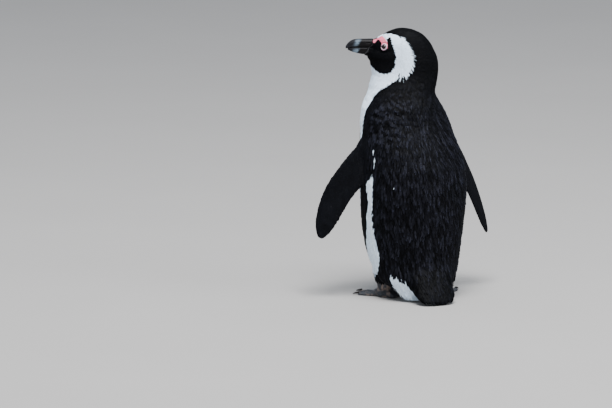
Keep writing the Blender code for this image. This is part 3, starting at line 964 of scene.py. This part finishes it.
length = feather_length(roots, root_part) * chance.uniform(0.86, 1.14, len(roots)) * MM
ahead, level, _ = head_place(roots)
nape = is_part(root_part, "head", "neck") & (ahead < LOOP_BACK) & (level > 388)
length *= np.where(nape, 0.72 + 1.3 * teeth(roots), 1)
for name in FLIPPERS:
    along, chord, _ = flipper_place(roots, name)
    elbow = is_part(root_part, name) & (chord > 20) & between(along, 15, 90)
    length *= np.where(elbow, chance.uniform(1, 2.2, len(roots)), 1)
swing = SWING * strand + chance.normal(0, LEAN, len(roots))
way = turned(flat(lie(roots, root_part), up), up, swing)
stations = [(roots, up, way)]
for t0, t1 in zip(RINGS, RINGS[1:]):
    spot, up, way = stations[-1]
    spot, up = land(spot + way * (length * (t1 - t0))[:, None])
    stations.append((spot, up, flat(way, up)))
angle, body_level, _ = body_place(roots)
is_vent = is_part(root_part, "trunk") & white_at(roots, root_part) & (np.abs(angle) > 85)
droop = VENT_DROOP * is_vent * fall(roots[:, 2] / MM, 26, 44)
droop *= chance.uniform(0.7, 1.15, len(roots))
for t, (spot, _, _) in zip(RINGS, stations):
    room = np.maximum(spot[:, 2] / MM - CLEARANCE, 0)
    spot[:, 2] -= np.minimum(droop, room) * t ** 2 * MM
print("walked", len(roots), "feathers")

# %% [markdown]
# The outer feathers gather in fine ridges. They run down the back, lean outwards over the
# right shoulder, and ripple level where the turned neck squeezes the left one. Noise that
# is stretched along a slanting line gives each of them.

# %% Ridges of the outer feathers
# tilt to the right in degrees, width and length of a ridge in mm
DOWN_BACK, LEFT_RIPPLES, RIGHT_LEAN = (4, 2.1, 11), (78, 2.1, 9), (30, 2.3, 12)
# level and how strong the ridges are
RIDGE_SIZE = ((12, 0.6), (40, 1), (330, 1), (365, 0.75), (400, 0.15))


def lines(across, up, shape):
    """Long thin patches of noise that lean aside."""
    tilt, wide, long = shape
    c, s = math.cos(math.radians(tilt)), math.sin(math.radians(tilt))
    run = np.stack([(across * c + up * s) / wide, (up * c - across * s) / long,
                    np.zeros(len(up))], axis=1) * MM
    return wander(run, (1, 1, 1), 2.6)


def strands(points, part):
    """Height of the ridges, from -1 to 1."""
    angle, level, _ = body_place(points)
    angle = angle % 360
    across = angle * DEGREE
    sway = 5 * wander(points, (18, 18, 30), 8.2)
    left = ease(level, 225, 300) * fall(angle, 128, 172)
    right = ease(level, 210, 262) * ease(angle, 168, 198)
    ridge = lines(across + sway, level, DOWN_BACK) * (1 - left) * (1 - right)
    ridge += 1.6 * lines(across, level + 0.6 * sway, LEFT_RIPPLES) * left
    ridge += lines(across + sway, level, RIGHT_LEAN) * right
    size = look_up(level, RIDGE_SIZE) * (1 + 0.15 * left)
    size = np.where(np.abs(angle - 180) > 85, size * 0.25, size)
    size = np.where(is_part(part, "trunk", "neck", "head", "tail"), size, 0.15)
    return np.clip(2 * ridge, -1, 1) * size


ridges = [strands(spot, root_part) for spot, _, _ in stations[1:]]
print("ridges lift", int((ridges[1] > 0.3).sum()), "feathers")

# %% [markdown]
# ## One feather, many times
# Each feather is a thin closed vane: a root, three rings of left edge, ridge and right
# edge, and a tip. That is sixteen triangles. The vane starts under its neighbours and rises
# until its tip lies at the coat's outside, which is what makes the rows overlap like tiles.
# All feathers of a region are one mesh, written as arrays, because an operator for each of
# tens of thousands would take hours.
#
# Each feather also gets two maps. One named OFBake puts the whole feather in a patch three
# thousandths wide, at its root's place on an unwrap of the body. The other runs across and
# along the vane, for its barbs.

# %% Build coats from arrays
CORNERS = 10  # of one feather
ACROSS = np.array((0, 0.5, 1) * 3 + (0.5,))
ALONG = np.array((0, -0.05, 0, 0.45, 0.45, 0.45, 0.86, 0.86, 0.86, 1))
QUADS = np.array([(k + a, k + b, k + 3 + b, k + 3 + a)
                  for k in (0, 3) for a, b in ((0, 1), (1, 2), (2, 0))])
TRIS = np.array([(0, 2, 1), (6, 7, 9), (7, 8, 9), (8, 6, 9)])
PATCH = 0.003  # width of a feather's patch on the OFBake map


def array_mesh(name, points, quads, tris):
    """A mesh from corner places, four-sided faces and triangles."""
    data = bpy.data.meshes.new(name)
    data.vertices.add(len(points))
    data.vertices.foreach_set("co", np.ascontiguousarray(points, dtype=np.float32).ravel())
    order = np.concatenate([quads.ravel(), tris.ravel()]).astype(np.int32)
    starts = np.concatenate([np.arange(len(quads)) * 4,
                             len(quads) * 4 + np.arange(len(tris)) * 3]).astype(np.int32)
    data.loops.add(len(order))
    data.loops.foreach_set("vertex_index", order)
    data.polygons.add(len(starts))
    data.polygons.foreach_set("loop_start", starts)
    data.update(calc_edges=True)
    return new_object(name, data), order


def repeat(pattern, count, stride):
    """The faces of one copy, numbered on for each further copy."""
    return (pattern[None] + (np.arange(count) * stride)[:, None, None]).reshape(
        -1, pattern.shape[1])


def add_map(thing, name, order, values):
    """A UV map from one place for each vertex."""
    layer = thing.data.uv_layers.new(name=name, do_init=False)
    layer.data.foreach_set("uv", values[order].astype(np.float32).ravel())


def crease(piece, angle):
    """Smooth shading, except at edges sharper than an angle in degrees."""
    only(piece)
    bpy.ops.object.shade_smooth_by_angle(angle=math.radians(angle))


def body_map(points):
    """An unwrap of the body and head: angle round, and distance along the skin."""
    angle, level, out = body_place(points)
    low = np.degrees(np.arctan2(np.maximum(100 - level, 0), out)) * 1.6
    high = np.degrees(np.arctan2(np.maximum(level - 440, 0), out)) * 0.8
    return angle, np.clip(level, 100, 440) - low + high


def spread(values, low=0.02, high=0.98):
    """Values moved to fill the map from low to high."""
    return low + (high - low) * (values - values.min()) / np.ptp(values)


print("vane of", 2 * len(QUADS) + len(TRIS), "triangles")

# %% [markdown]
# ## The plumage's finish
# Fresh penguin plumage is dense and slightly oily. Black feathers have paler, bluish tips,
# their own tint made stronger as painted sheen, and their ridges are painted paler as a
# painted soft highlight. Base colour comes from the feather's own colour, darkened and
# lightened by fine noise. A wave runs slantwise from the ridge to each edge as barbs. Much
# gloss would turn the black grey, so the shine is kept low.

# %% Plumage finish
BARB_SLANT, BARB_WAVES = 0.9, 110
PLUMAGE = finish("plumage", dict(Scale=420, Detail=3), 0.7, 1.3, Roughness=0.5,
                 Specular_IOR_Level=0.05)


def maths(kind, *numbers):
    """A Math node with its second and later inputs set."""
    made = node(PLUMAGE, "ShaderNodeMath", operation=kind)
    for place, number in enumerate(numbers, 1):
        made.inputs[place].default_value = number
    return made


split = node(PLUMAGE, "ShaderNodeSeparateXYZ")
from_ridge, slant = maths("PINGPONG", 0.5), maths("MULTIPLY_ADD", BARB_SLANT)
wave, barb = maths("MULTIPLY", BARB_WAVES), maths("SINE")
wire(PLUMAGE, (node(PLUMAGE, "ShaderNodeUVMap", uv_map="vane").outputs["UV"], split.inputs[0]),
     (split.outputs["X"], from_ridge.inputs[0]), (from_ridge.outputs[0], slant.inputs[0]),
     (split.outputs["Y"], slant.inputs[2]), (slant.outputs[0], wave.inputs[0]),
     (wave.outputs[0], barb.inputs[0]))
bump(PLUMAGE, barb.outputs[0], 0.25, 0.0002)
print("plumage has", len(PLUMAGE.node_tree.nodes), "nodes")

# %% [markdown]
# Width, lift and colour of every feather are worked out once for the whole bird. The tips
# of black feathers are a little lighter and bluer than their roots, partly as painted sheen,
# and each feather differs a little from its neighbour, or the coat looks moulded. Ridges are
# painted paler and furrows darker, some tips get a painted glint, and the black is painted
# darker up the neck and on the tail, as painted shade.

# %% Size, lift and colour of each feather
RIDGE_SHEEN_AND_SHADE = 1.45  # painted sheen on the ridges and painted shade in the furrows: how much paler the ridges are painted
STRAND_HEIGHT = 0.7 * MM
# level and how bright the black is: painted shade that darkens the upper neck and head
SHADE_PAINTED_BY_LEVEL = ((340, 1), (365, 0.75), (395, 0.45))
# painted shade: the tail faces up into the light, so its black is painted darker
TAIL_PAINTED_SHADE = 0.5
TIP_TINT_AND_SHEEN = np.array((2.3, 2.5, 3.05))  # the tip of a black feather against the rest: its own bluish tint, made stronger as painted sheen
BRIGHT_SHARE, BRIGHT, DULL = 0.3, 1.9, 0.8  # painted glint: some tips are painted brighter, as if they caught the light, the others darker
SLIT_NARROW = 0.35  # the feathers inside the white slit are as narrow as it is
HEIGHTS = (0.10, 0.62, 0.96, 1)  # how much of its lift each ring has
SHARES = (0.45, 1, 0.72, 0)  # how much of its width; the last ring is the tip
RIDGE, EDGE = 0.19, 0.10  # the vane's rise in the middle and drop at the edges

near_tip = stations[2][0]
root_depth = coat_depth(roots, root_part) * MM
width = spacing(roots, root_part) * chance.uniform(1.6, 2.1, len(roots))
width *= np.where(nape, 0.75, 1) * np.where(in_slit(near_tip), SLIT_NARROW, 1)
lift = root_depth * (1 + 0.22 * wander(roots, (7, 7, 16), 9.1))
lift += chance.normal(0, 0.06, len(roots)) * root_depth
heights = [lift * HEIGHTS[0]]
heights += [lift * share + STRAND_HEIGHT * ridge for share, ridge in zip(HEIGHTS[1:], ridges)]

is_white = np.where(nape, white_at(roots, root_part), white_at(near_tip, root_part))
shade = chance.uniform(0.80, 1.22, len(roots)) * (1 + 0.25 * strand)
# painted sheen on the ridges, painted shade in the furrows, and painted shade darkening the
# black up the neck
shade = shade * np.exp(RIDGE_SHEEN_AND_SHADE * ridges[1]) * look_up(body_level, SHADE_PAINTED_BY_LEVEL)
# painted shade on the tail
shade *= np.where(is_part(root_part, "tail"), TAIL_PAINTED_SHADE, 1)
dark = BLACK * shade[:, None]
# painted glint on a share of the tips
painted_tip_glint = np.where(chance.random(len(roots)) < BRIGHT_SHARE, BRIGHT, DULL)[:, None]
# white feathers take a small share of the same random tone and painted sheen and shade
pale = WHITE * np.clip(0.93 + 0.07 * shade, 0, 1.04)[:, None]
at_root, at_vane, at_tip = (
    np.where(is_white[:, None], *pair) for pair in
    ((pale * 0.80, dark * 0.8), (pale * 0.97, dark), (pale, dark * TIP_TINT_AND_SHEEN * painted_tip_glint)))
tints = np.stack([at_root] * 3 + [at_vane] * 4 + [at_vane * 1.1, at_vane, at_tip], axis=1)
print(int(is_white.sum()), "white feathers and", int((~is_white).sum()), "black ones")

# %% [markdown]
# The coat is cut into pieces by region, so that none is too heavy. The head, nape and neck
# are one each, and the trunk is cut at its sides and at half its height. One function
# stacks the corners of all a region's feathers, ring by ring, and makes them one mesh.

# %% Coats of the regions
def coat(name, picked, home):
    """One mesh of the picked feathers; home is each root's place on the map."""
    count = int(picked.sum())
    rows = []
    for (spot, up, way), height, share in zip(stations, heights, SHARES):
        spot, up, way, wide = spot[picked], up[picked], way[picked], width[picked] * share
        heart = spot + up * height[picked][:, None]
        if share:
            half = np.cross(way, up) * (wide / 2)[:, None]
            drop = up * (EDGE * wide)[:, None]
            rows += [heart - half - drop, heart + up * (RIDGE * wide)[:, None],
                     heart + half - drop]
    points = np.stack(rows + [heart], axis=1).reshape(-1, 3)
    made, order = array_mesh(name, points, repeat(QUADS, count, CORNERS),
                             repeat(TRIS, count, CORNERS))
    local = np.stack([ACROSS, ALONG], axis=1)
    patch = home[:, None, :] + (local[None] - 0.5) * PATCH
    add_map(made, "OFBake", order, patch.reshape(-1, 2))
    add_map(made, "vane", order, np.tile(local, (count, 1)))
    paint(made, tints[picked].reshape(-1, 3))
    dress(made, PLUMAGE, "plumage")
    crease(made, 62)
    print(name, count, "feathers,", count * 16, "triangles")


HEAD_FLOOR, NECK_FLOOR, WAIST = 398, 330, 170  # where the regions part, mm

around, along_body = body_map(roots)
body = ~is_part(root_part, *FLIPPERS, *LEGS, "tail")
back = np.abs(angle) > 100
head = body_level >= HEAD_FLOOR
neck = ~head & (body_level >= NECK_FLOOR)
upper = (body_level < NECK_FLOOR) & (body_level >= WAIST)
lower = body_level < WAIST
regions = {
    "coat_head": body & head & (np.abs(angle) < 90),
    "coat_nape": body & head & (np.abs(angle) >= 90),
    "coat_neck": body & neck,
    "coat_back_upper": body & back & upper, "coat_back_lower": body & back & lower,
    "coat_breast": body & ~back & upper, "coat_belly": body & ~back & lower,
    "coat_tail": is_part(root_part, "tail"), "coat_legs": is_part(root_part, *LEGS)}
for name, picked in regions.items():
    turn = around[picked] % 360 if "back" in name or "tail" in name else around[picked]
    coat(name, picked, np.stack([spread(turn), spread(along_body[picked])], axis=1))
for name in FLIPPERS:
    picked = is_part(root_part, name)
    along, chord, _ = flipper_place(roots[picked], name)
    facing = (stations[0][1][picked] @ flipper_axes(name)[3]) > 0
    u = np.where(facing, spread(chord, 0.02, 0.48), spread(chord, 0.52, 0.98))
    coat("coat_" + name, picked, np.stack([u, spread(along)], axis=1))

# %% [markdown]
# ## Tail feathers
# The tail is a short stiff wedge of narrow feathers that the bird leans on. Each is a long
# vane with a strong shaft. They are laid in two layers like a fan, the middle ones longest,
# with ends worn ragged on the ground.

# %% Stiff tail feathers
TAIL_COUNT = 22
TAIL_START = np.array((1, 70, 47))  # middle of the fan's root, mm
TAIL_END = np.array((4, 115, 3.2))
TAIL_STEPS = np.linspace(0, 1, 7)
TAIL_HALF_WIDTH = 4.6
TAIL_SHAPE = ((0, 0.5), (0.2, 0.9), (0.75, 1), (0.92, 0.7), (1, 0.18))
TAIL_FLOOR = 0.4  # the lowest feathers lie on the ground, mm


def tail_feather(number):
    """Middle line and half width of one feather, as places along it."""
    place = (number + 0.5) / TAIL_COUNT * 2 - 1
    layer = number % 2
    far = 1 - 0.20 * place ** 2 - 0.05 * layer + chance.uniform(-0.07, 0.04)
    start = TAIL_START + (32 * place, -6 * abs(place), -16 * place ** 2 - 3 * layer)
    end = TAIL_END + (25 * place, -8 * place ** 2, -1.5 * layer)
    end = start + (end - start) * far
    t = TAIL_STEPS[:, None]
    line = start * (1 - t) + end * t
    line[:, 2] += 5 * np.sin(math.pi * TAIL_STEPS) * (1 - 0.6 * place ** 2)
    return line, TAIL_HALF_WIDTH * look_up(TAIL_STEPS, TAIL_SHAPE)


rows, faces = [], []
for number in range(TAIL_COUNT):
    line, wide = tail_feather(number)
    run = unit(np.gradient(line, axis=0))
    across = unit(np.cross(run, UP))
    over = np.cross(across, run)
    first = len(rows) * 4
    for spot, side, rise, half in zip(line, across, over, wide):
        rows.append(np.stack([spot - side * half - rise * 0.5, spot + rise * 0.55,
                              spot + side * half - rise * 0.5, spot - rise * 0.25]))
    last = len(rows) * 4 - 4
    faces += [(r + a, r + b, r + 4 + b, r + 4 + a) for r in range(first, last, 4)
              for a, b in ((0, 1), (1, 2), (2, 3), (3, 0))]
    faces += [(first + 3, first + 2, first + 1, first), (last, last + 1, last + 2, last + 3)]
points = np.concatenate(rows) * MM + HOME
points[:, 2] = np.maximum(points[:, 2], TAIL_FLOOR * MM)
fan, order = array_mesh("tail_feathers", points, np.array(faces), np.empty((0, 3), int))
number = np.arange(len(points)) // (len(TAIL_STEPS) * 4)
t = np.repeat(np.tile(TAIL_STEPS, TAIL_COUNT), 4)
u = np.tile((0, 0.5, 1, 0.45), len(rows))
add_map(fan, "OFBake", order, np.stack([(number + 0.1 + 0.8 * u) / TAIL_COUNT,
                                        0.02 + 0.96 * t], axis=1))
add_map(fan, "vane", order, np.stack([u, t * 4], axis=1))
tone = chance.uniform(0.8, 1.3, TAIL_COUNT)[number] * (1 + 0.5 * (u == 0.5))
paint(fan, BLACK[None] * tone[:, None] * (1 + 0.9 * t[:, None]))
dress(fan, PLUMAGE, "plumage")
crease(fan, 50)
print("tail fan of", TAIL_COUNT, "feathers")

# %% [markdown]
# ## Scaled feet
# The feet are covered in small horny plates: wide ones across the top of each toe, round
# pebbles on the webs and sides. One plate is a low six-sided dome. It is repeated over the
# foot, wider across the toe than along it, and coloured by the same blotches as the skin.

# %% Plates on the feet
PLATE_GAP = 1.75 * MM
PLATE_SIZE = np.array((1.18, 0.92, 0.75))  # across, along and out of the toe
STEEP_REACH = 13 * MM  # nearer the shank than this, plates point down instead of outwards
FOOT = finish("foot_horn_skin", dict(Scale=1500, Detail=3), 0.7, 1.3,
              relief=(0.4, 0.0003), Roughness=0.42, Specular_IOR_Level=0.5)


def plate_template():
    """A low dome: outer ring sunk in the skin, inner ring and middle above it."""
    turn = np.arange(6) * math.pi / 3
    ring = np.stack([np.cos(turn), np.sin(turn), np.zeros(6)], axis=1)
    points = np.concatenate([ring * 0.55 + (0, 0, -0.4), ring + (0, 0, -0.1),
                             ring * 0.62 + (0, 0, 0.30), [(0, 0, 0.42)]])
    k = np.arange(6)
    j = (k + 1) % 6
    quads = np.concatenate([np.stack([k, j, j + 6, k + 6], 1),
                            np.stack([k + 6, j + 6, j + 12, k + 12], 1)])
    tris = np.concatenate([np.stack([k + 12, j + 12, np.full(6, 18)], 1),
                           [(0, 2, 1), (0, 3, 2), (0, 4, 3), (0, 5, 4)]])
    return points, quads, tris


def build_plates(side_name):
    here = is_part(part, "foot_" + side_name) & (places[:, 2] > 1.3 * MM) & (ways[:, 2] > -0.3)
    here |= is_part(part, "leg_" + side_name) & (places[:, 2] < 20 * MM)
    spots, _ = scatter(np.full(len(places), PLATE_GAP), here)
    _, up = land(spots)
    out = spots - middle("leg_" + side_name)
    out[:, 2] = 0
    steep = np.hypot(out[:, 0], out[:, 1]) < STEEP_REACH
    way = flat(np.where(steep[:, None], DOWN, unit(out)), up)
    points, quads, tris = plate_template()
    grow = PLATE_GAP * chance.uniform(0.50, 0.62, len(spots))[:, None, None]
    local = points[None] * grow * PLATE_SIZE
    world = (spots[:, None] + np.cross(way, up)[:, None] * local[..., :1]
             + way[:, None] * local[..., 1:2] + up[:, None] * local[..., 2:])
    made, order = array_mesh("plates_" + side_name, world.reshape(-1, 3),
                             repeat(quads, len(spots), len(points)),
                             repeat(tris, len(spots), len(points)))
    home = np.stack([spread(spots[:, k] + 0.3 * spots[:, 2]) for k in (0, 1)], axis=1)
    flat_local = points[:, :2] * (0.42 + 0.08 * (points[:, 2:] + 0.4))
    patch = home[:, None] + flat_local[None] * PATCH
    add_map(made, "OFBake", order, patch.reshape(-1, 2))
    tone = foot_colour(spots) * chance.uniform(0.8, 1.25, (len(spots), 1))
    # painted highlight on each plate's raised top and painted shade on its sunk rim
    paint(made, np.repeat(tone, len(points), axis=0)
          * np.tile(np.where(points[:, 2] > 0.2, 1.15, 0.6), len(spots))[:, None])
    dress(made, FOOT, "foot_skin")
    print(made.name, len(spots), "plates")


for side_name in ("left", "right"):
    build_plates(side_name)

# %% [markdown]
# ## The bill
# A penguin's bill is made of horny plates over bone: a strong ridge, a hooked tip, a groove
# along each side with a slit nostril in it, and a band of pale blue-grey near the tip. The
# two solids have the outline, so copies of them are melted to an even fine mesh, smoothed,
# and the grooves are pressed in by their place along and up the bill.

# %% Shape the two halves of the bill
SIDE_GROOVE = ((74, 455.6), (88, 454), (96, 453.8), (100.5, 456))
NOSTRIL = ((79, 454.8), (84.5, 454.2))
LOWER_GROOVE = ((84, 439), (95, 440.6), (100, 442.6))
MOUTH_LEVEL = 446.7
SEAM_LIP = 0.5  # the upper edge of the mouth overhangs the lower by twice this, mm
BILL_FOLDS = (70, 73.5, 77, 81)  # low folds in the horn of the root, forward, mm
HORN_SINK = 1.7  # how far the horn dips under the feathers at its root, mm


def groove(x, y, line, width, depth):
    """Depth of a soft-edged groove along a bent line of (x, y)."""
    gap = line_gap(x, y, [(a, b, 0) for a, b in line])
    return depth * np.exp(-(gap / width) ** 2)


def shape_bill(name):
    """A finer copy of one half, pressed in along its grooves and swollen at the mouth."""
    made = joined(name + "_horn", (name,), 0)
    melt(made, 0.5 * MM, 6)
    places, ways, _ = arrays(made)
    ahead, level, aside = head_place(places)
    beside = ease(np.abs(ways @ ASIDE), 0.25, 0.6)
    lip = SEAM_LIP
    if name == "bill_upper":
        press = groove(ahead, level, SIDE_GROOVE, 0.9, 0.35) * beside
        press += groove(ahead, level, NOSTRIL, 0.65, 1.2) * beside
        for at in BILL_FOLDS:
            press += 0.10 * np.exp(-((ahead - at - 0.15 * (level - 455)) / 0.5) ** 2)
        press -= 0.2 * np.exp(-(aside / 1.6) ** 2) * ease(ways[:, 2], 0.2, 0.7)
    else:
        press = groove(ahead, level, LOWER_GROOVE, 0.9, 0.3) * beside
        lip = -SEAM_LIP
    press -= lip * np.exp(-((level - MOUTH_LEVEL) / 1.3) ** 2)
    press += 0.05 * wander(places, (9, 9, 1.6), 4)
    press += HORN_SINK * ease(before_horn(places), -1.8, 1.4)
    put(made, places - ways * (press * MM)[:, None])
    return made


HORNS = {name: shape_bill(name) for name in BILL}
print({name: len(horn.data.polygons) for name, horn in HORNS.items()})

# %% [markdown]
# The horn is black, and the tip a little greyer. A pale band crosses both halves on a slant
# and fades towards the ridge and the lower edge. Streaks of worn horn run along the bill.

# %% Colour the bill
BILL_GREY = np.array((0.22, 0.29, 0.36))
BILL_BLACK = np.array((0.0032, 0.0027, 0.0029))
BILL_TIP = np.array((0.0085, 0.0085, 0.0105))
BAND_SHARE = 0.9


def bill_colour(points, upper):
    """The horn's colour at each place of the upper or the lower half."""
    ahead, level, _ = head_place(points)
    wave = ahead + 1.2 * wander(points, (4, 4, 5), 6)
    if upper:
        wave += 0.5 * (level - 452)
        band = window(wave, 96, 102.5, 102.5, 110) * ease(level, 446, 455)
        band *= 0.75 * (1 - 0.8 * ease(level, 457.5, 461.5))
    else:
        wave += 0.6 * (level - 440)
        band = window(wave, 97.5, 102.5, 104, 113) * fall(level, 439, 446.5)
    streak = 0.85 + 0.3 * wander(points, (9, 9, 2.5), 1.1)
    worn = 1 + 0.55 * wander(points, (16, 16, 1.1), 3.3)[:, None]
    horn = blend(BILL_BLACK, BILL_TIP, ease(ahead, 101, 110)) * worn
    return blend(horn, BILL_GREY, np.clip(BAND_SHARE * band * streak, 0, 1))


def horn_finish(name, roughness, scale):
    return finish(name, dict(Scale=scale, Detail=5, Distortion=0.6), 0.7, 1.35,
                  relief=(0.3, 0.0004), Roughness=roughness, Specular_IOR_Level=0.13)


BILL_HORN = horn_finish("bill_horn", 0.50, 520)
for name, horn in HORNS.items():
    paint(horn, bill_colour(arrays(horn)[0], name == "bill_upper"))
    dress(horn, BILL_HORN, "bill_horn", name)
    print(horn.name, "painted")

# %% [markdown]
# ## Claws
# Three blunt dark claws on each foot, curved down to the ground. Their solids are already
# curved cones, so merged copies are melted finer and get a horn finish with growth lines.

# %% Claws
CLAW_COLOUR = np.array((0.016, 0.014, 0.014))
LINE_HEIGHT, LINE_TURNS = 0.06, 6  # growth lines: height in mm, and radians in each mm
CLAW_HORN = horn_finish("claw_horn", 0.45, 900)
for side_name in ("left", "right"):
    names = [f"claw_{toe}_{side_name}" for toe in ("inner", "middle", "outer")]
    claws = joined("claws_" + side_name, names, 0)
    melt(claws, 0.4 * MM, 3)
    spots, outwards, _ = arrays(claws)
    growth = LINE_HEIGHT * np.sin(spots[:, 1] / MM * LINE_TURNS)
    put(claws, spots - outwards * (growth * MM)[:, None])
    paint(claws, CLAW_COLOUR * mottle(spots, 0.4, 2))
    dress(claws, CLAW_HORN, "claw_horn", *names)
    print(claws.name, len(claws.data.polygons), "faces")

# %% [markdown]
# ## Eyes
# A dark brown iris round a black pupil, under a clear bulging cornea. Two nested balls could
# be used, but a dark wet eye reads the same as one ball whose front bulges, with the iris
# painted in it and a clear gloss coat on top. The ball starts as a UV sphere with its pole
# turned to look out along the eye's axis.

# %% Eyeballs
PUPIL, IRIS = math.radians(19), math.radians(37)  # their edges, seen from the centre
CORNEA_RISE = 0.35
EYE_BLACK = np.array((0.002, 0.002, 0.002))
EYE_BROWN = np.array((0.014, 0.006, 0.003))
WET_EYE = finish("wet_eye", dict(Scale=1800, Detail=2), 0.6, 1.4, Roughness=0.10,
                 Specular_IOR_Level=0.22, Coat_Weight=0.12, Coat_Roughness=0.03)


def eyeball(name, side):
    bpy.ops.object.select_all(action="DESELECT")
    bpy.ops.mesh.primitive_uv_sphere_add(
        segments=56, ring_count=40, radius=EYE_RADIUS * MM, location=EYES[side],
        rotation=Vector(EYE_AXES[side]).to_track_quat("Z", "Y").to_euler())
    made = bpy.context.view_layer.objects.active
    made.name = name + "_ball"
    bpy.ops.object.transform_apply(location=True, rotation=True, scale=True)
    places, _, _ = arrays(made)
    away = unit(places - EYES[side])
    off = np.arccos(np.clip(away @ EYE_AXES[side], -1, 1))
    rise = CORNEA_RISE * np.cos(np.clip(off / IRIS, 0, 1) * math.pi / 2) ** 2
    put(made, places + away * (rise * MM)[:, None])
    _, _, turn = eye_places(places, side)
    fibre = 0.8 + 0.35 * np.sin(23 * turn + 3 * np.sin(5 * turn))
    iris = ease(off, PUPIL - 0.03, PUPIL + 0.03) * fall(off, IRIS - 0.12, IRIS)
    paint(made, blend(EYE_BLACK, EYE_BROWN * fibre[:, None], iris))
    dress(made, WET_EYE, "eye_surface", name)


for name, side in (("eye_left", 1), ("eye_right", -1)):
    eyeball(name, side)
print("eyes", 2 * EYE_RADIUS, "mm across")

# %% [markdown]
# ## Floor, light and camera
# The bird stands on a plain pale floor under soft cool light from above, as on an overcast
# day. The camera is far away with a long lens, a little above the bird, behind its left side.

# %% Floor
FLOOR_SIZE = 40
FLOOR_COLOUR = np.array((0.315, 0.303, 0.29))

bpy.ops.object.select_all(action="DESELECT")
bpy.ops.mesh.primitive_plane_add(size=FLOOR_SIZE)
ground = bpy.context.view_layer.objects.active
ground.name = "floor"
paint(ground, np.tile(FLOOR_COLOUR, (len(ground.data.vertices), 1)))
ground.data.materials.append(
    finish("pale_floor", dict(Scale=3, Detail=3), 0.97, 1.03, Roughness=0.9,
           Specular_IOR_Level=0.1))
print("floor", FLOOR_SIZE, "m wide")

# %% Light
SKY_COLOUR = (0.80, 0.88, 1, 1)
SKY_STRENGTH = 0.82
MIDDLE = Vector((0, 0, 0.25))  # the lamps look at the middle of the bird

world = bpy.data.worlds.new("overcast")
world.use_nodes = True
sky = world.node_tree.nodes["Background"]
sky.inputs["Color"].default_value = SKY_COLOUR
sky.inputs["Strength"].default_value = SKY_STRENGTH
bpy.context.scene.world = world


def turn_to(thing, way):
    thing.rotation_euler = Vector(way).to_track_quat("-Z", "Y").to_euler()


def soft_light(name, place, size, power, colour):
    lamp = bpy.data.lights.new(name, "AREA")
    lamp.size = size
    lamp.energy = power
    lamp.color = colour
    made = new_object(name, lamp)
    made.location = place
    turn_to(made, MIDDLE - Vector(place))


soft_light("overhead", (0.45, 1.35, 4.5), 2.4, 570, (0.97, 0.98, 1))
soft_light("side", (-2, 2.2, 1.6), 1.4, 42, (0.90, 0.95, 1))
print("sky and two soft lamps")

# %% Camera
AZIMUTH, ELEVATION = math.radians(155), math.radians(10)
LENS, SENSOR, FRAME_WIDTH = 300, 36, 1.1016
AIM = Vector(HOME) + Vector((0.1627, -0.107, 0.1605))

backwards = Vector((math.sin(AZIMUTH) * math.cos(ELEVATION),
                    -math.cos(AZIMUTH) * math.cos(ELEVATION), math.sin(ELEVATION)))
lens = bpy.data.cameras.new("camera")
lens.lens, lens.sensor_width = LENS, SENSOR
lens.dof.use_dof = False
lens.clip_end = 100
camera = new_object("camera", lens)
camera.location = AIM + backwards * (FRAME_WIDTH * LENS / SENSOR)
turn_to(camera, -backwards)
bpy.context.scene.camera = camera
print("camera at", [round(v, 2) for v in camera.location])
